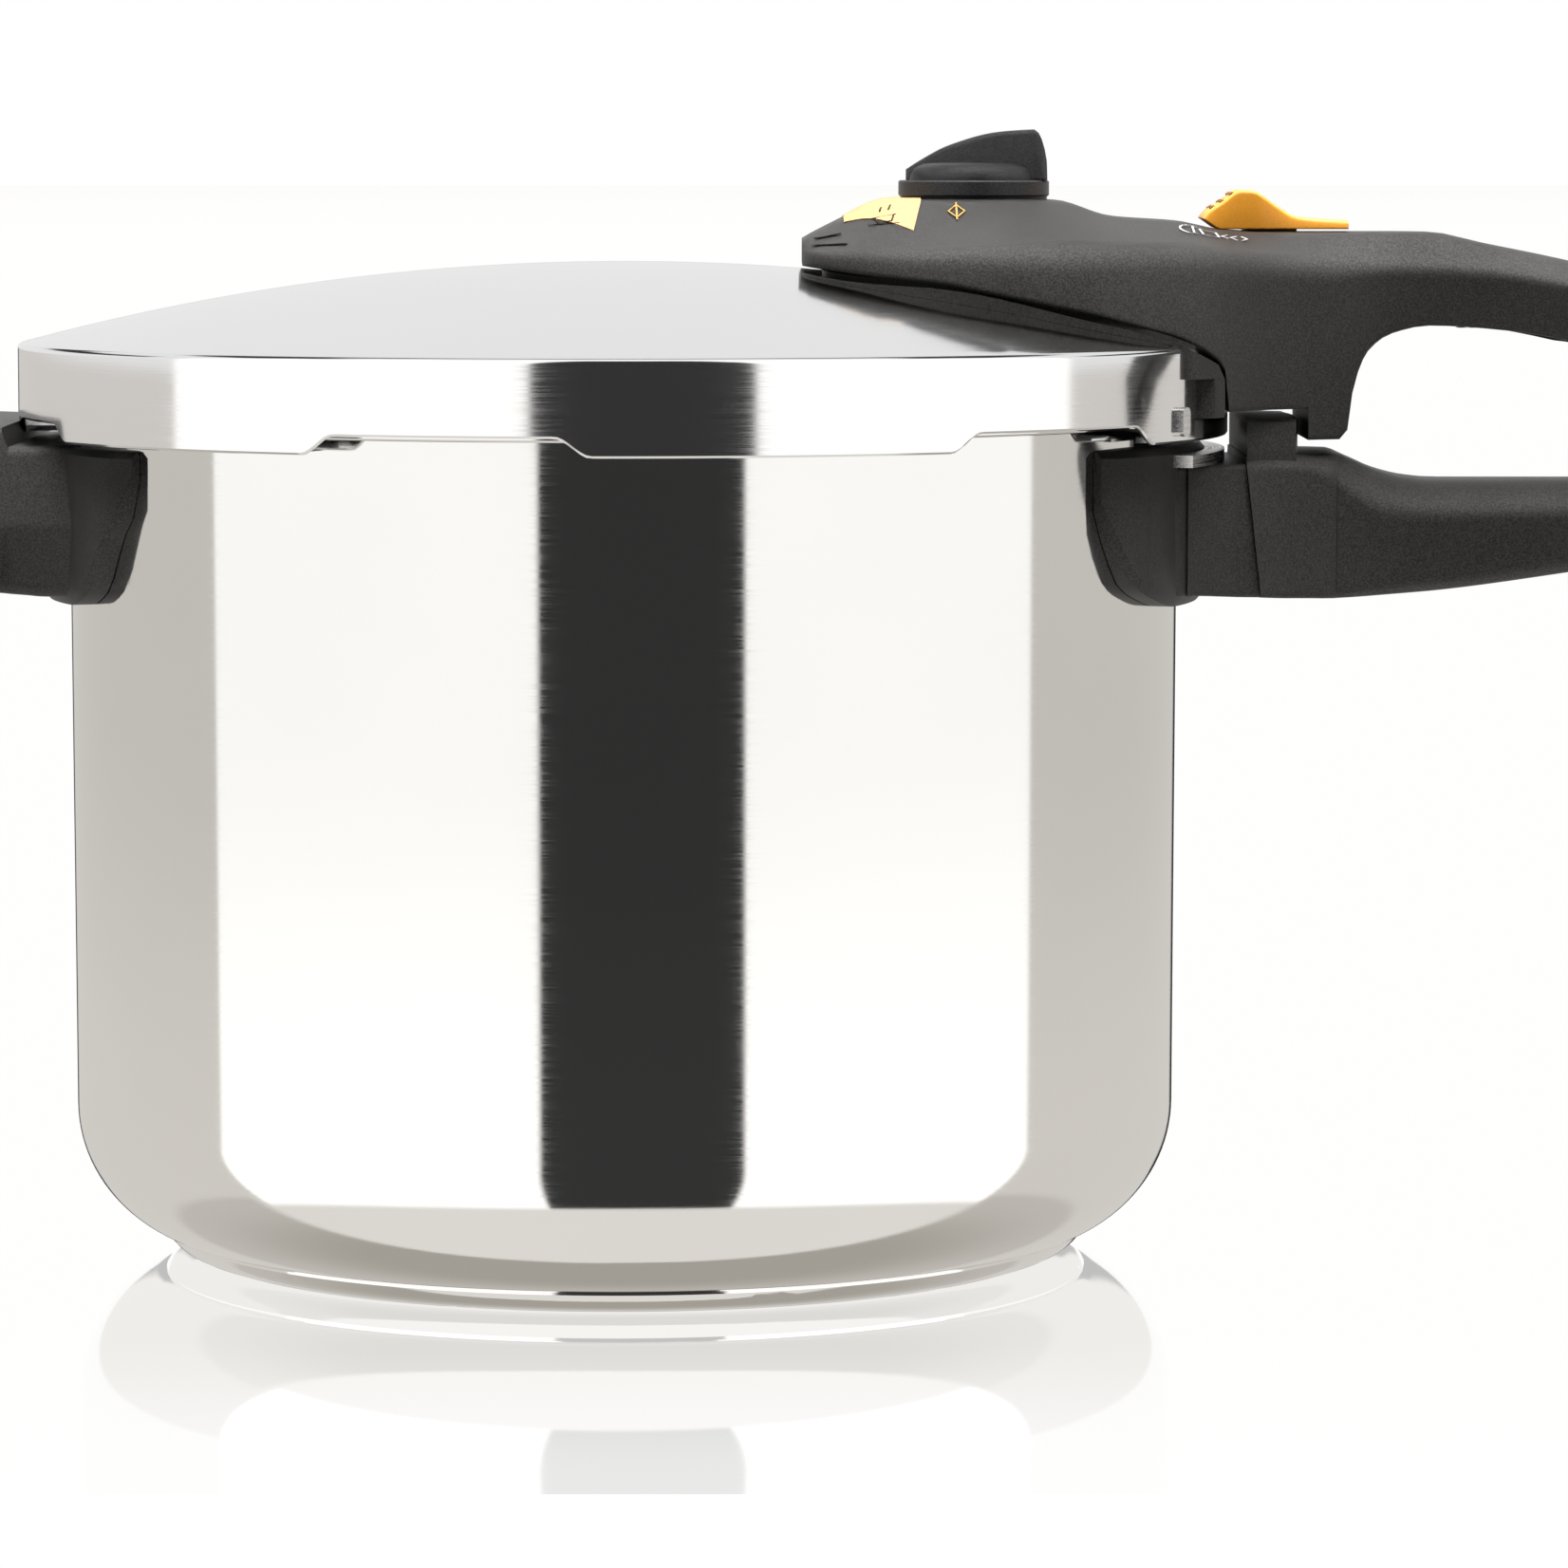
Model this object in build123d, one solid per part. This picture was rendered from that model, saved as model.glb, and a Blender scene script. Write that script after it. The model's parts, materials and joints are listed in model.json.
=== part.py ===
"""Stovetop pressure cooker with a bayonet lid, built as separate pieces.

Millimetres. The origin is the centre of the base's underside, +Z is up, the long handles
point along +X and the helper handle along -X. The lid is drawn closed and locked.
"""
from build123d import *
import math
import os

# ---- pot ----
POT_R = 111.0            # outside radius of the wall at the rim
WALL = 1.0               # steel wall
POT_TAPER = 0.5          # how much smaller the wall is where the corner starts
CORNER_R = 27.0          # outside corner between wall and floor
FLOOR_Z = 4.5            # outside face of the steel floor
FLOOR_DIP = 2.0          # how far the corner's circle reaches below the floor
RIM_Z = 168.0            # top of the rim flange
RIM_T = 1.5              # flange thickness
RIM_RING = 1.6           # how far the plain rim stands out past the wall
LUG_REACH = 7.5          # how far the pot's bayonet lugs stand out past the wall
LUGS = 6
LUG_ARC = 27.0           # degrees covered by each pot lug
LUG_START = -75.0        # direction of the first lug, from +X
CORE_GAP = 0.6           # steel under the aluminium heat disc
CAP_RISE_R = 8.0         # width of the base cap's curved rim

# ---- lid ----
LID_T = 1.2
LUG_CLEAR = 1.3          # between the pot's lugs and the skirt
SHOULDER_H = 13.873      # where the skirt would meet the crown, above the rim
CROWN_H = 16.127         # how much higher the middle of the crown is
LID_EDGE_R = 3.0         # rounding between crown and skirt
SKIRT_DROP = 4.2         # how far the skirt reaches below the rim at its lugs
SKIRT_RISE = 3.6         # how much higher the skirt ends between the lugs
SCALLOP_TOP, SCALLOP_LOW = 21.5, 28.5   # half widths of each raised stretch
HOOK_T = 1.2             # turned-in hooks at the foot of the skirt
HOOK_GAP = 1.1           # from the plain rim to the hooks' tips
HOOK_ARC = 27.0
TURN_CLEAR = 0.3         # running gap between pieces that move past each other
TOUCH = 0.02             # gap between pieces that lie against each other
GASKET_LIP = 12.5        # how far the seal's lips reach in
GASKET_WEB = 3.0

# ---- pieces that pass through the crown, places counted in from the skirt ----
KNOB_IN = 50.9
KNOB_R = 15.1
KNOB_UP = 43.0           # underside of the knob above the rim
VALVE_R = 8.0
VALVE_FLANGE_R = 11.5
SPINDLE_R = 4.6
PIN_IN = 29.0            # pressure lock pin
PIN_R = 2.2
PIN_WALL = 2.2           # wall of the pin's bush
PIN_RISE = 4.0
SAFETY_IN, SAFETY_Y = 49.0, 31.0
SAFETY_R = 6.0
SAFETY_CAP = 6.0         # how far the safety valve stands above its seat
BORE_CLEAR = 0.2         # fixed stems in their holes
SLIDE_CLEAR = 0.08       # sliding pins in their bores
NUT_T = 3.8
SEAL_T = 1.2             # flat seals between crown and nut

# ---- lid handle, places counted out from the skirt ----
PARTING_GAP = 1.2        # shadow groove between the two mouldings
GROOVE_DEPTH = 4.0
SADDLE_HALF = 45.5       # half width of the moulding where it wraps over the skirt
LEG_OUT = 21.5           # outer face of the leg
LEG_DROP = 5.0           # foot of the leg below the rim
GRIP_REACH = 151.0       # ends of both long grips
COVER_T = 2.2            # cover under the upper grip
COVER_HALF = 8.0
SCREW_R = 1.7
SCREW_HEAD_R = 4.2

# ---- lock ----
BUTTON_OUT = 23.7        # rear end of the button
BUTTON_LONG = 29.1
BUTTON_HALF = 9.0
BUTTON_UP = 36.4         # underside of the button above the rim
BAR_UP = 30.0            # underside of the lock bar above the rim
BAR_T = 3.2
BAR_HALF = 5.6

# ---- pot handle ----
POST_OUT = 2.4           # inner face of the catch post
POST_T = 11.6
POST_CLEAR = 0.9         # between the post and the leg
POST_DROP = 0.8          # top of the post below the rim
POST_ROOF = 2.0          # free height above the post
NECK_DROP = 9.4
BODY_DROP = 7.8
YOKE_DROP = 5.4
NECK_H = 25.6            # height of the neck
YOKE_IN = 7.0            # joint between the yoke and the grip, in from the wall
YOKE_T = 2.2             # heat shield plate on the wall
SPLIT_GAP = 0.6
BRACKET_T = 1.6
BRACKET_ARC = 24.0
TONGUE_HALF = 9.0
TONGUE_T = 3.0
HANDLE_SCREW_OUT = 8.0   # handle screws, out from the wall
HANDLE_SCREW_R = 2.2
HANDLE_HEAD_R = 4.6

# ---- helper handle ----
HELPER_REACH = 47.0      # how far it stands out from the wall
HELPER_HALF = 40.0

# ---- places that follow from the sizes above ----
LUG_STEP = 360.0 / LUGS
LID_R = POT_R + LUG_REACH + LUG_CLEAR + LID_T
DOME_R = (LID_R ** 2 + CROWN_H ** 2) / (2 * CROWN_H)
LID_TOP_Z = RIM_Z + SHOULDER_H + CROWN_H
SKIRT_Z = RIM_Z - SKIRT_DROP
OUT = LID_R - 121.0      # handle outlines below are drawn for a skirt of radius 121
UP = RIM_Z - 168.0       # and for a rim at height 168
KNOB_X = LID_R - KNOB_IN
KNOB_Z = RIM_Z + KNOB_UP
PIN_X = LID_R - PIN_IN
PIN_BUSH_R = PIN_R + PIN_WALL
SAFETY_X = LID_R - SAFETY_IN
POST_X0 = LID_R + POST_OUT
POST_X1 = POST_X0 + POST_T
POST_Z = RIM_Z - POST_DROP
LEG_X0 = LID_R - LUG_CLEAR - 0.3
LEG_X1 = LID_R + LEG_OUT
LEG_Z = RIM_Z - LEG_DROP
LEG_RECESS_Z = POST_Z + POST_ROOF
LEG_INNER_X = POST_X1 + POST_CLEAR
GRIP_END_X = LID_R + GRIP_REACH
BUTTON_X1 = LID_R + BUTTON_OUT
BUTTON_X0 = BUTTON_X1 - BUTTON_LONG
BUTTON_Z = RIM_Z + BUTTON_UP
LOCK_BAR_Z = RIM_Z + BAR_UP
NECK_TOP_Z = RIM_Z - NECK_DROP
NECK_LOW_Z = NECK_TOP_Z - NECK_H
BODY_TOP_Z = RIM_Z - BODY_DROP
YOKE_TOP_Z = RIM_Z - YOKE_DROP
TONGUE_Z = RIM_Z - 23.0
YOKE_SPLIT_X = POT_R - YOKE_IN
HANDLE_SCREW_X = POT_R + HANDLE_SCREW_OUT
HELPER_END_X = -POT_R - HELPER_REACH


def placed(points):
    """Outline points of a handle, moved with the skirt and the rim."""
    return [(x + OUT, z + UP) for x, z in points]


def helper_placed(points):
    return [(x - OUT, z + UP) for x, z in points]


def ring(r_out, r_in, z0, z1, x=0.0, y=0.0):
    """Flat ring, or a disc when r_in is 0."""
    body = Pos(x, y, (z0 + z1) / 2) * Cylinder(r_out, z1 - z0)
    if r_in > 0:
        body -= Pos(x, y, (z0 + z1) / 2) * Cylinder(r_in, z1 - z0 + 2)
    return body


def block(x0, x1, half_y, z0, z1, y=0.0):
    return Pos((x0 + x1) / 2, y, (z0 + z1) / 2) * Box(x1 - x0, 2 * half_y, z1 - z0)


def spun(points_or_edges):
    """Solid of revolution about Z from edges in the XZ plane."""
    return revolve(Plane.XZ * make_face(points_or_edges), Axis.Z)


def side_cut(edges, half_y):
    """Solid whose side view, seen along +Y, is the closed outline."""
    return extrude(Plane.XZ * make_face(edges), half_y, both=True)


def plan_cut(edges, z0, z1):
    """Solid whose plan view is the closed outline."""
    return extrude(Plane.XY.offset(z0) * make_face(edges), z1 - z0)


def sector(r, start, arc, z0, z1):
    """Pie slice from the axis out to r."""
    reach = 2 * r
    mid = math.radians(start + arc / 2)
    half = math.radians(arc / 2)
    a = (reach * math.cos(mid - half), reach * math.sin(mid - half))
    b = (reach * math.cos(mid + half), reach * math.sin(mid + half))
    wedge = plan_cut(Polyline((0, 0), a, b, close=True), z0, z1)
    return wedge & ring(r, 0, z0, z1)


def dome_z(r, inset=0.0):
    """Height of the crown's outside at a radius, or of a surface inset below it."""
    radius = DOME_R - inset
    return LID_TOP_Z - DOME_R + math.sqrt(radius ** 2 - r ** 2)


# ---- seats in the crown, and what stands on them ----
VALVE_BOSS_R = VALVE_FLANGE_R + 1.0
PIN_FLANGE_R = PIN_BUSH_R + 2.2
PIN_BOSS_R = PIN_FLANGE_R + 0.4
SAFETY_FLANGE_R = SAFETY_R + 2.6
SAFETY_BOSS_R = SAFETY_FLANGE_R + 0.4
SAFETY_RAD = math.hypot(SAFETY_X, SAFETY_Y)
VALVE_SEAT_Z = dome_z(KNOB_X - VALVE_BOSS_R)
VALVE_NUT_Z = dome_z(KNOB_X + VALVE_BOSS_R, LID_T) - 0.2
PIN_SEAT_Z = dome_z(PIN_X - PIN_BOSS_R)
PIN_NUT_Z = dome_z(PIN_X + PIN_BOSS_R, LID_T) - 0.2
SAFETY_SEAT_Z = dome_z(SAFETY_RAD - SAFETY_BOSS_R)
SAFETY_NUT_Z = dome_z(SAFETY_RAD + SAFETY_BOSS_R, LID_T) - 0.2
SAFETY_CAP_Z = SAFETY_SEAT_Z + SAFETY_CAP
VALVE_TOP_Z = KNOB_Z - 4.4
SPINDLE_Z = KNOB_Z - 10.5
PLUNGER_H = 8.0
POPPET_H = 4.5
SCREW_TOP_Z = RIM_Z + 28.0
LID_SCREW_PLACES = ((LID_R - 35.0, -34.0), (LID_R - 71.0, -26.0), (LID_R - 71.0, 26.0), (LID_R - 27.0, 36.0))
COVER_PATH = placed([(158.0, 185.9), (176.0, 184.9), (226.0, 171.7), (252.0, 162.6)])
COVER_SCREW_X = (GRIP_END_X - 102.0, GRIP_END_X - 32.0)
UNDER, OVER = SKIRT_Z - 45.0, KNOB_Z + 20.0    # reach of cutters below and above the handles


# ---------------------------------------------------------------- pot

def corner_foot_r(inset=0.0):
    """Radius where the corner meets the flat floor."""
    radius = CORNER_R - inset
    drop = CORNER_R - FLOOR_DIP - inset
    return POT_R - POT_TAPER - CORNER_R + math.sqrt(radius ** 2 - drop ** 2)


def pot_profile(inset):
    """Closed half outline of the pot, its wall moved in by inset, open end at the rim."""
    centre_r = POT_R - POT_TAPER - CORNER_R
    centre_z = CORNER_R + FLOOR_Z - FLOOR_DIP
    radius = CORNER_R - inset
    floor = FLOOR_Z + inset
    foot_r = corner_foot_r(inset)
    start = math.degrees(math.asin((floor - centre_z) / radius))
    corner = CenterArc((centre_r, centre_z), radius, start, -start)
    top = RIM_Z if inset == 0 else RIM_Z + 1
    return [Line((0, floor), (foot_r, floor)), corner,
            Line((centre_r + radius, centre_z), (POT_R - inset, top)),
            Line((POT_R - inset, top), (0, top)), Line((0, top), (0, floor))]


def pot_shell():
    shell = spun(pot_profile(0)) - spun(pot_profile(WALL))
    z0 = RIM_Z - RIM_T
    shell += ring(POT_R + RIM_RING, POT_R - WALL / 2, z0, RIM_Z)
    for i in range(LUGS):
        start = LUG_START + i * LUG_STEP - LUG_ARC / 2
        lug = sector(POT_R + LUG_REACH, start, LUG_ARC, z0, RIM_Z)
        shell += lug - ring(POT_R - WALL / 2, 0, z0 - 1, RIM_Z + 1)
    return shell


def cap_radii():
    """Seam with the pot's corner, then the flat of the base cap."""
    seam = corner_foot_r() - 0.7
    return seam, seam - CAP_RISE_R


def base_core():
    """Aluminium disc between the steel floor and the cap."""
    core = ring(cap_radii()[1], 0, CORE_GAP, FLOOR_Z)
    return chamfer(core.edges().group_by(Axis.Z)[0], 0.8)


def base_cap():
    """Thin steel cup over the heat disc."""
    seam, foot = cap_radii()
    arc = ThreePointArc((foot, 0), (foot + 0.675 * CAP_RISE_R, 1.1), (seam, FLOOR_Z - 0.6))
    outer = [Line((0, 0), (foot, 0)), arc, Line(arc @ 1, (seam, FLOOR_Z)),
             Line((seam, FLOOR_Z), (0, FLOOR_Z)), Line((0, FLOOR_Z), (0, 0))]
    return spun(outer) - base_core()


def wall_pad(r0, r1, arc, facing, z0, z1):
    """Curved plate lying against the wall, centred on a direction."""
    plate = sector(r1, facing - arc / 2, arc, z0, z1)
    return plate - ring(r0, 0, z0 - 1, z1 + 1)


def handle_tongue(facing):
    """Welded plate and its screw tongue, facing +X or -X."""
    plate = wall_pad(POT_R + TOUCH, POT_R + BRACKET_T, BRACKET_ARC, facing, TONGUE_Z - 7, NECK_TOP_Z)
    tongue = block(POT_R, HANDLE_SCREW_X + 11, TONGUE_HALF, TONGUE_Z, TONGUE_Z + TONGUE_T)
    hole = ring(HANDLE_SCREW_R + 0.4, 0, TONGUE_Z - 5, TONGUE_Z + 5, HANDLE_SCREW_X)
    return plate + Rot(0, 0, facing) * (tongue - ring(POT_R + TOUCH, 0, TONGUE_Z - 5, TONGUE_Z + 5) - hole)


def pot_handle_bracket():
    """Welded steel plate, its screw tongue and the ledge the yoke hangs under."""
    ledge = wall_pad(POT_R + TOUCH, LID_R - 0.6, 44, 0, NECK_TOP_Z + TOUCH, NECK_TOP_Z + 2.4)
    riser = wall_pad(POT_R + TOUCH, POT_R + BRACKET_T, BRACKET_ARC, 0, NECK_TOP_Z - 1, NECK_TOP_Z + 2.4)
    return handle_tongue(0) + ledge + riser


def handle_bracket_room(facing):
    """Space the bracket takes out of the mouldings."""
    outer = POT_R + BRACKET_T + TOUCH
    plate = wall_pad(POT_R - 1, outer, BRACKET_ARC + 1, facing, TONGUE_Z - 8, NECK_TOP_Z + 3)
    low, top = TONGUE_Z - TOUCH, TONGUE_Z + TONGUE_T + TOUCH
    tongue = block(POT_R - 1, HANDLE_SCREW_X + 11.3, TONGUE_HALF + 0.3, low, top)
    return plate + Rot(0, 0, facing) * tongue


def handle_screw_room(x):
    """Shaft and counterbore of a handle screw."""
    shaft = ring(HANDLE_SCREW_R + BORE_CLEAR, 0, NECK_LOW_Z - 6, NECK_TOP_Z - 1.6, x)
    return shaft + ring(HANDLE_HEAD_R + 0.6, 0, NECK_LOW_Z - 6, NECK_LOW_Z + 5, x)


def handle_screw(x):
    """Pan-headed screw, upwards into the bracket's tongue."""
    low = NECK_LOW_Z + 5
    head = ring(HANDLE_HEAD_R, 0, low - 3.2, low - TOUCH, x)
    head = fillet(head.edges().group_by(Axis.Z)[0], 1.2)
    slot = block(x - 6, x + 6, 0.6, low - 4, low - 2.2)
    return head + ring(HANDLE_SCREW_R, 0, low - TOUCH, NECK_TOP_Z - 2.6, x) - slot


def pot_handle_plan():
    """Plan of the lower long handle: wide wings on the wall, a neck, then the grip."""
    wing = [(92.0, 63.5), (97.6, 57.6), (104.5, 47.4), (112.5, 37.5), (124.0, 28.0), (141.6, 19.0),
            (161.0, 16.5)]
    half = Spline(*[(x + OUT, y) for x, y in wing], tangents=[(0.7, -1), (1, -0.05)])
    side = [half, Line(half @ 1, (GRIP_END_X, 16.5))]
    start = wing[0][0] + OUT
    return side + [mirror(edge, about=Plane.XZ) for edge in side] + [
        Line((start, -63.5), (start, 63.5)), Line((GRIP_END_X, 16.5), (GRIP_END_X, -16.5))]


def pot_handle_side():
    """Side view of the lower handle from the yoke to where the grip starts."""
    under = Spline(*placed([(90.0, 149.0), (95.6, 139.6), (104.4, 133.4), (112.0, 133.0)]),
                   tangents=[(0.3, -1), (1, 0)])
    grip_x = LEG_X1 - 0.5
    step_x = POST_X0 - 0.4
    points = [(grip_x, NECK_LOW_Z - 1.4), (grip_x, BODY_TOP_Z), (step_x, BODY_TOP_Z), (step_x, NECK_TOP_Z),
              (112.0 + OUT, NECK_TOP_Z), (106.0 + OUT, YOKE_TOP_Z - 2), (99.0 + OUT, YOKE_TOP_Z),
              (90.0 + OUT, YOKE_TOP_Z), (90.0 + OUT, 149.0 + UP)]
    return [under, Line(under @ 1, points[0]), Polyline(*points)]


def pot_handle_neck():
    neck = side_cut(pot_handle_side(), 70) & plan_cut(pot_handle_plan(), UNDER, OVER)
    return neck - ring(POT_R + TOUCH, 0, UNDER, OVER)


def section(x, low_half, low_z, side_half, side_z, top_half, top_z, rounding):
    """Six-sided cross-section of a grip, its corners rounded, moved with the skirt and the rim."""
    plane = Plane(origin=(x + OUT, 0, UP), x_dir=(0, 1, 0), z_dir=(1, 0, 0))
    face = make_face(Polyline((-low_half, low_z), (low_half, low_z), (side_half, side_z),
                              (top_half, top_z), (-top_half, top_z), (-side_half, side_z), close=True))
    return plane * fillet(face.vertices(), rounding)


POT_GRIP_SECTIONS = (
    (141.6, 17.5, 131.4, 19.0, 155.0, 15.0, 160.0),
    (151.0, 16.0, 131.7, 18.0, 150.0, 11.5, 156.2),
    (161.0, 14.5, 132.4, 16.8, 149.0, 10.0, 154.6),
    (190.0, 13.0, 136.3, 15.6, 148.6, 9.5, 154.4),
    (226.0, 12.5, 142.0, 15.4, 150.0, 9.5, 155.4),
    (256.0, 11.0, 147.4, 14.6, 152.8, 8.5, 157.4))
POT_GRIP_TIP = (268.0, 7.0, 150.4, 9.0, 153.4, 5.5, 156.4)


def pot_handle_grip():
    """Lower grip with the catch post that stands in the lid handle's recess."""
    grip = loft([section(*values, 2.4) for values in POT_GRIP_SECTIONS])
    grip += loft([section(*POT_GRIP_SECTIONS[-1], 2.4), section(*POT_GRIP_TIP, 1.6)])
    neck = pot_handle_neck() - block(UNDER - 50, YOKE_SPLIT_X + SPLIT_GAP, 80, UNDER, OVER)
    neck -= ring(POT_R + YOKE_T + TOUCH, 0, UNDER, OVER)
    post = plan_cut(pot_handle_plan(), BODY_TOP_Z - 3, POST_Z) & block(POST_X0, POST_X1, 40, UNDER, OVER)
    post &= ring(POST_X1, 0, UNDER, OVER)
    body = grip + neck + post - handle_bracket_room(0) - ring(LID_R, 0, NECK_TOP_Z, OVER)
    return body - handle_screw_room(HANDLE_SCREW_X)


def pot_handle_yoke():
    """Heat shield moulding that hugs the wall behind the grip."""
    neck = pot_handle_neck()
    yoke = (neck & block(0, YOKE_SPLIT_X, 80, UNDER, OVER)) + (neck & ring(POT_R + YOKE_T, 0, UNDER, OVER))
    yoke -= sector(LID_R, -23, 46, NECK_TOP_Z, OVER)
    return yoke - handle_bracket_room(0)


def helper_side():
    back = [(HELPER_END_X + 20, 167.2 + UP), (HELPER_END_X + 7, 164.4 + UP), (HELPER_END_X, 154.0 + UP),
            (HELPER_END_X + 4, 142.5 + UP), (HELPER_END_X + 16, 136.2 + UP)]
    top = Polyline(*helper_placed([(-92.0, 163.2), (-99.0, 163.2), (-113.0, 163.2), (-113.8, 162.0),
                                   (-119.5, 162.0), (-120.8, 166.2)]), back[0])
    tip = Spline(*back, tangents=[(-1, 0), (1, 0.25)])
    low = Spline(back[-1], *helper_placed([(-126.0, 134.0), (-112.0, 133.2)]), tangents=[(1, 0.25), (1, 0)])
    under = Spline(*helper_placed([(-112.0, 133.2), (-105.6, 133.8), (-101.0, 139.6), (-97.2, 150.0),
                                   (-92.0, 152.4)]))
    return [top, tip, low, under, Line(under @ 1, top @ 0)]


def helper_plan():
    """Plan of the helper handle: wide on the wall, rounded at the end."""
    arm = [(x - OUT, y) for x, y in ((-90.0, 64.5), (-97.6, 55.0), (-108.0, 46.0))]
    bar = [(-126.0 - OUT, HELPER_HALF), (HELPER_END_X + 12, 0.825 * HELPER_HALF), (HELPER_END_X, 0.0)]
    half = Spline(*arm, *bar, tangents=[(-0.2, -1), (0, -1)])
    return [half, mirror(half, about=Plane.XZ), Line((arm[0][0], -arm[0][1]), arm[0])]


def helper_body():
    body = side_cut(helper_side(), 80) & plan_cut(helper_plan(), UNDER, OVER)
    body -= ring(LID_R + 1.4, 0, YOKE_TOP_Z, OVER)
    return body - ring(POT_R + TOUCH, 0, UNDER, OVER)


def helper_handle_grip():
    body = helper_body() & block(HELPER_END_X - 5, -YOKE_SPLIT_X - SPLIT_GAP, 80, UNDER, OVER)
    body -= ring(POT_R + YOKE_T + TOUCH, 0, UNDER, OVER)
    middle = HELPER_END_X + 21.0
    finger = Spline((middle + 11, 0), (middle + 9, 22), (middle, 20), (middle - 10, 0), (middle, -20),
                    (middle + 9, -22), periodic=True)
    body -= plan_cut(finger, UNDER, YOKE_TOP_Z - 5.6)
    return body - handle_bracket_room(180) - handle_screw_room(-HANDLE_SCREW_X)


def helper_handle_yoke():
    body = helper_body()
    yoke = (body & block(-YOKE_SPLIT_X, 0, 80, UNDER, OVER)) + (body & ring(POT_R + YOKE_T, 0, UNDER, OVER))
    return yoke - handle_bracket_room(180)


# ---------------------------------------------------------------- lid

def lid_solid(inset, bottom):
    """The lid's outside as a filled solid, its surfaces moved in by inset."""
    r = LID_R - inset
    edge_r = LID_EDGE_R - min(inset, LID_EDGE_R - 0.5)
    shoulder_r = r - edge_r
    shoulder_z = dome_z(shoulder_r, inset)
    crown = ThreePointArc((0, LID_TOP_Z - inset), (shoulder_r / 2, dome_z(shoulder_r / 2, inset)),
                          (shoulder_r, shoulder_z))
    edge = ThreePointArc((shoulder_r, shoulder_z), (r - edge_r * 0.25, shoulder_z - edge_r * 0.36),
                         (r, shoulder_z - edge_r))
    return spun([crown, edge, Line((r, shoulder_z - edge_r), (r, bottom)), Line((r, bottom), (0, bottom)),
                 Line((0, bottom), (0, LID_TOP_Z - inset))])


def skirt_scallop(direction):
    """Cutter that lifts the skirt's edge between two lugs, with S-shaped ends."""
    top, low = SKIRT_Z + SKIRT_RISE, SKIRT_Z - 3
    left = Spline((-SCALLOP_LOW, SKIRT_Z), (-SCALLOP_TOP, top), tangents=[(1, 0), (1, 0)])
    right = Spline((SCALLOP_TOP, top), (SCALLOP_LOW, SKIRT_Z), tangents=[(1, 0), (1, 0)])
    foot = Polyline((SCALLOP_LOW, SKIRT_Z), (SCALLOP_LOW, low), (-SCALLOP_LOW, low), (-SCALLOP_LOW, SKIRT_Z))
    cutter = extrude(Plane.XZ * make_face([left, Line(left @ 1, right @ 0), right, foot]), LID_R + 20)
    return Rot(0, 0, direction + 90) * cutter


def lid_shell():
    shell = lid_solid(0, SKIRT_Z) - lid_solid(LID_T, SKIRT_Z - 1)
    for i in range(LUGS):
        centre = LUG_START + i * LUG_STEP
        hook = sector(LID_R - LID_T / 2, centre - HOOK_ARC / 2, HOOK_ARC, SKIRT_Z, SKIRT_Z + HOOK_T)
        hook -= ring(POT_R + RIM_RING + HOOK_GAP, 0, SKIRT_Z - 1, SKIRT_Z + HOOK_T + 1)
        shell += hook
        shell -= skirt_scallop(centre + LUG_STEP / 2)
    shell += ring(VALVE_BOSS_R, 0, VALVE_NUT_Z, VALVE_SEAT_Z, KNOB_X)
    shell += ring(PIN_BOSS_R, 0, PIN_NUT_Z, PIN_SEAT_Z, PIN_X)
    shell += ring(SAFETY_BOSS_R, 0, SAFETY_NUT_Z, SAFETY_SEAT_Z, SAFETY_X, SAFETY_Y)
    shell -= ring(VALVE_R + BORE_CLEAR, 0, SKIRT_Z, OVER, KNOB_X)
    shell -= ring(PIN_BUSH_R + BORE_CLEAR, 0, SKIRT_Z, OVER, PIN_X)
    shell -= ring(SAFETY_R + BORE_CLEAR, 0, SKIRT_Z, OVER, SAFETY_X, SAFETY_Y)
    for x, y in LID_SCREW_PLACES:
        shell -= ring(SCREW_R + 0.5, 0, SKIRT_Z, OVER, x, y)
    return shell - safety_window()


def safety_window():
    """Opening in the skirt where the gasket can blow out."""
    outline = Polyline((-3.1, 175.0 + UP), (3.6, 176.4 + UP), (3.0, 171.6 + UP), (-0.4, 165.6 + UP),
                       (-2.6, 167.6 + UP), close=True)
    cutter = Pos(0, -LID_R, 0) * extrude(Plane.XZ * make_face(outline), 20, both=True)
    return Rot(0, 0, 90 - 31.6) * cutter & ring(LID_R + 2, LID_R - 5, SKIRT_Z - 4, RIM_Z + 10)


def rim_stud():
    """Pressed locating stud on the skirt beside the handle."""
    stud = Pos(LID_R + 0.5, 0, RIM_Z - 0.1) * Box(1.6, 3.6, 5.6)
    stud = fillet(stud.edges().filter_by(Axis.X), 1.2)
    return Rot(0, 0, -26.0) * stud - ring(LID_R, 0, SKIRT_Z - 4, RIM_Z + 12)


def gasket():
    """Lip seal: an outer wall with an upper and a lower lip that point inwards."""
    r_out = LID_R - LID_T - TURN_CLEAR
    low = RIM_Z + TURN_CLEAR
    r_in, r_web = r_out - GASKET_LIP, r_out - GASKET_WEB
    under_crown = LID_T + TURN_CLEAR + 0.2
    top_in, top_out = dome_z(r_in + 1, under_crown), dome_z(r_out, under_crown) - 1.2
    profile = Polyline((r_out, low), (r_out, top_out - 1), (r_out - 1.2, top_out), (r_in + 1, top_in),
                       (r_in, top_in - 1.6), (r_web, top_out - 3.4), (r_web, low + 3.0), (r_in, low + 1.6),
                       (r_in, low), close=True)
    return spun(profile)


# ------------------------------------------------- lid handle mouldings

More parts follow.
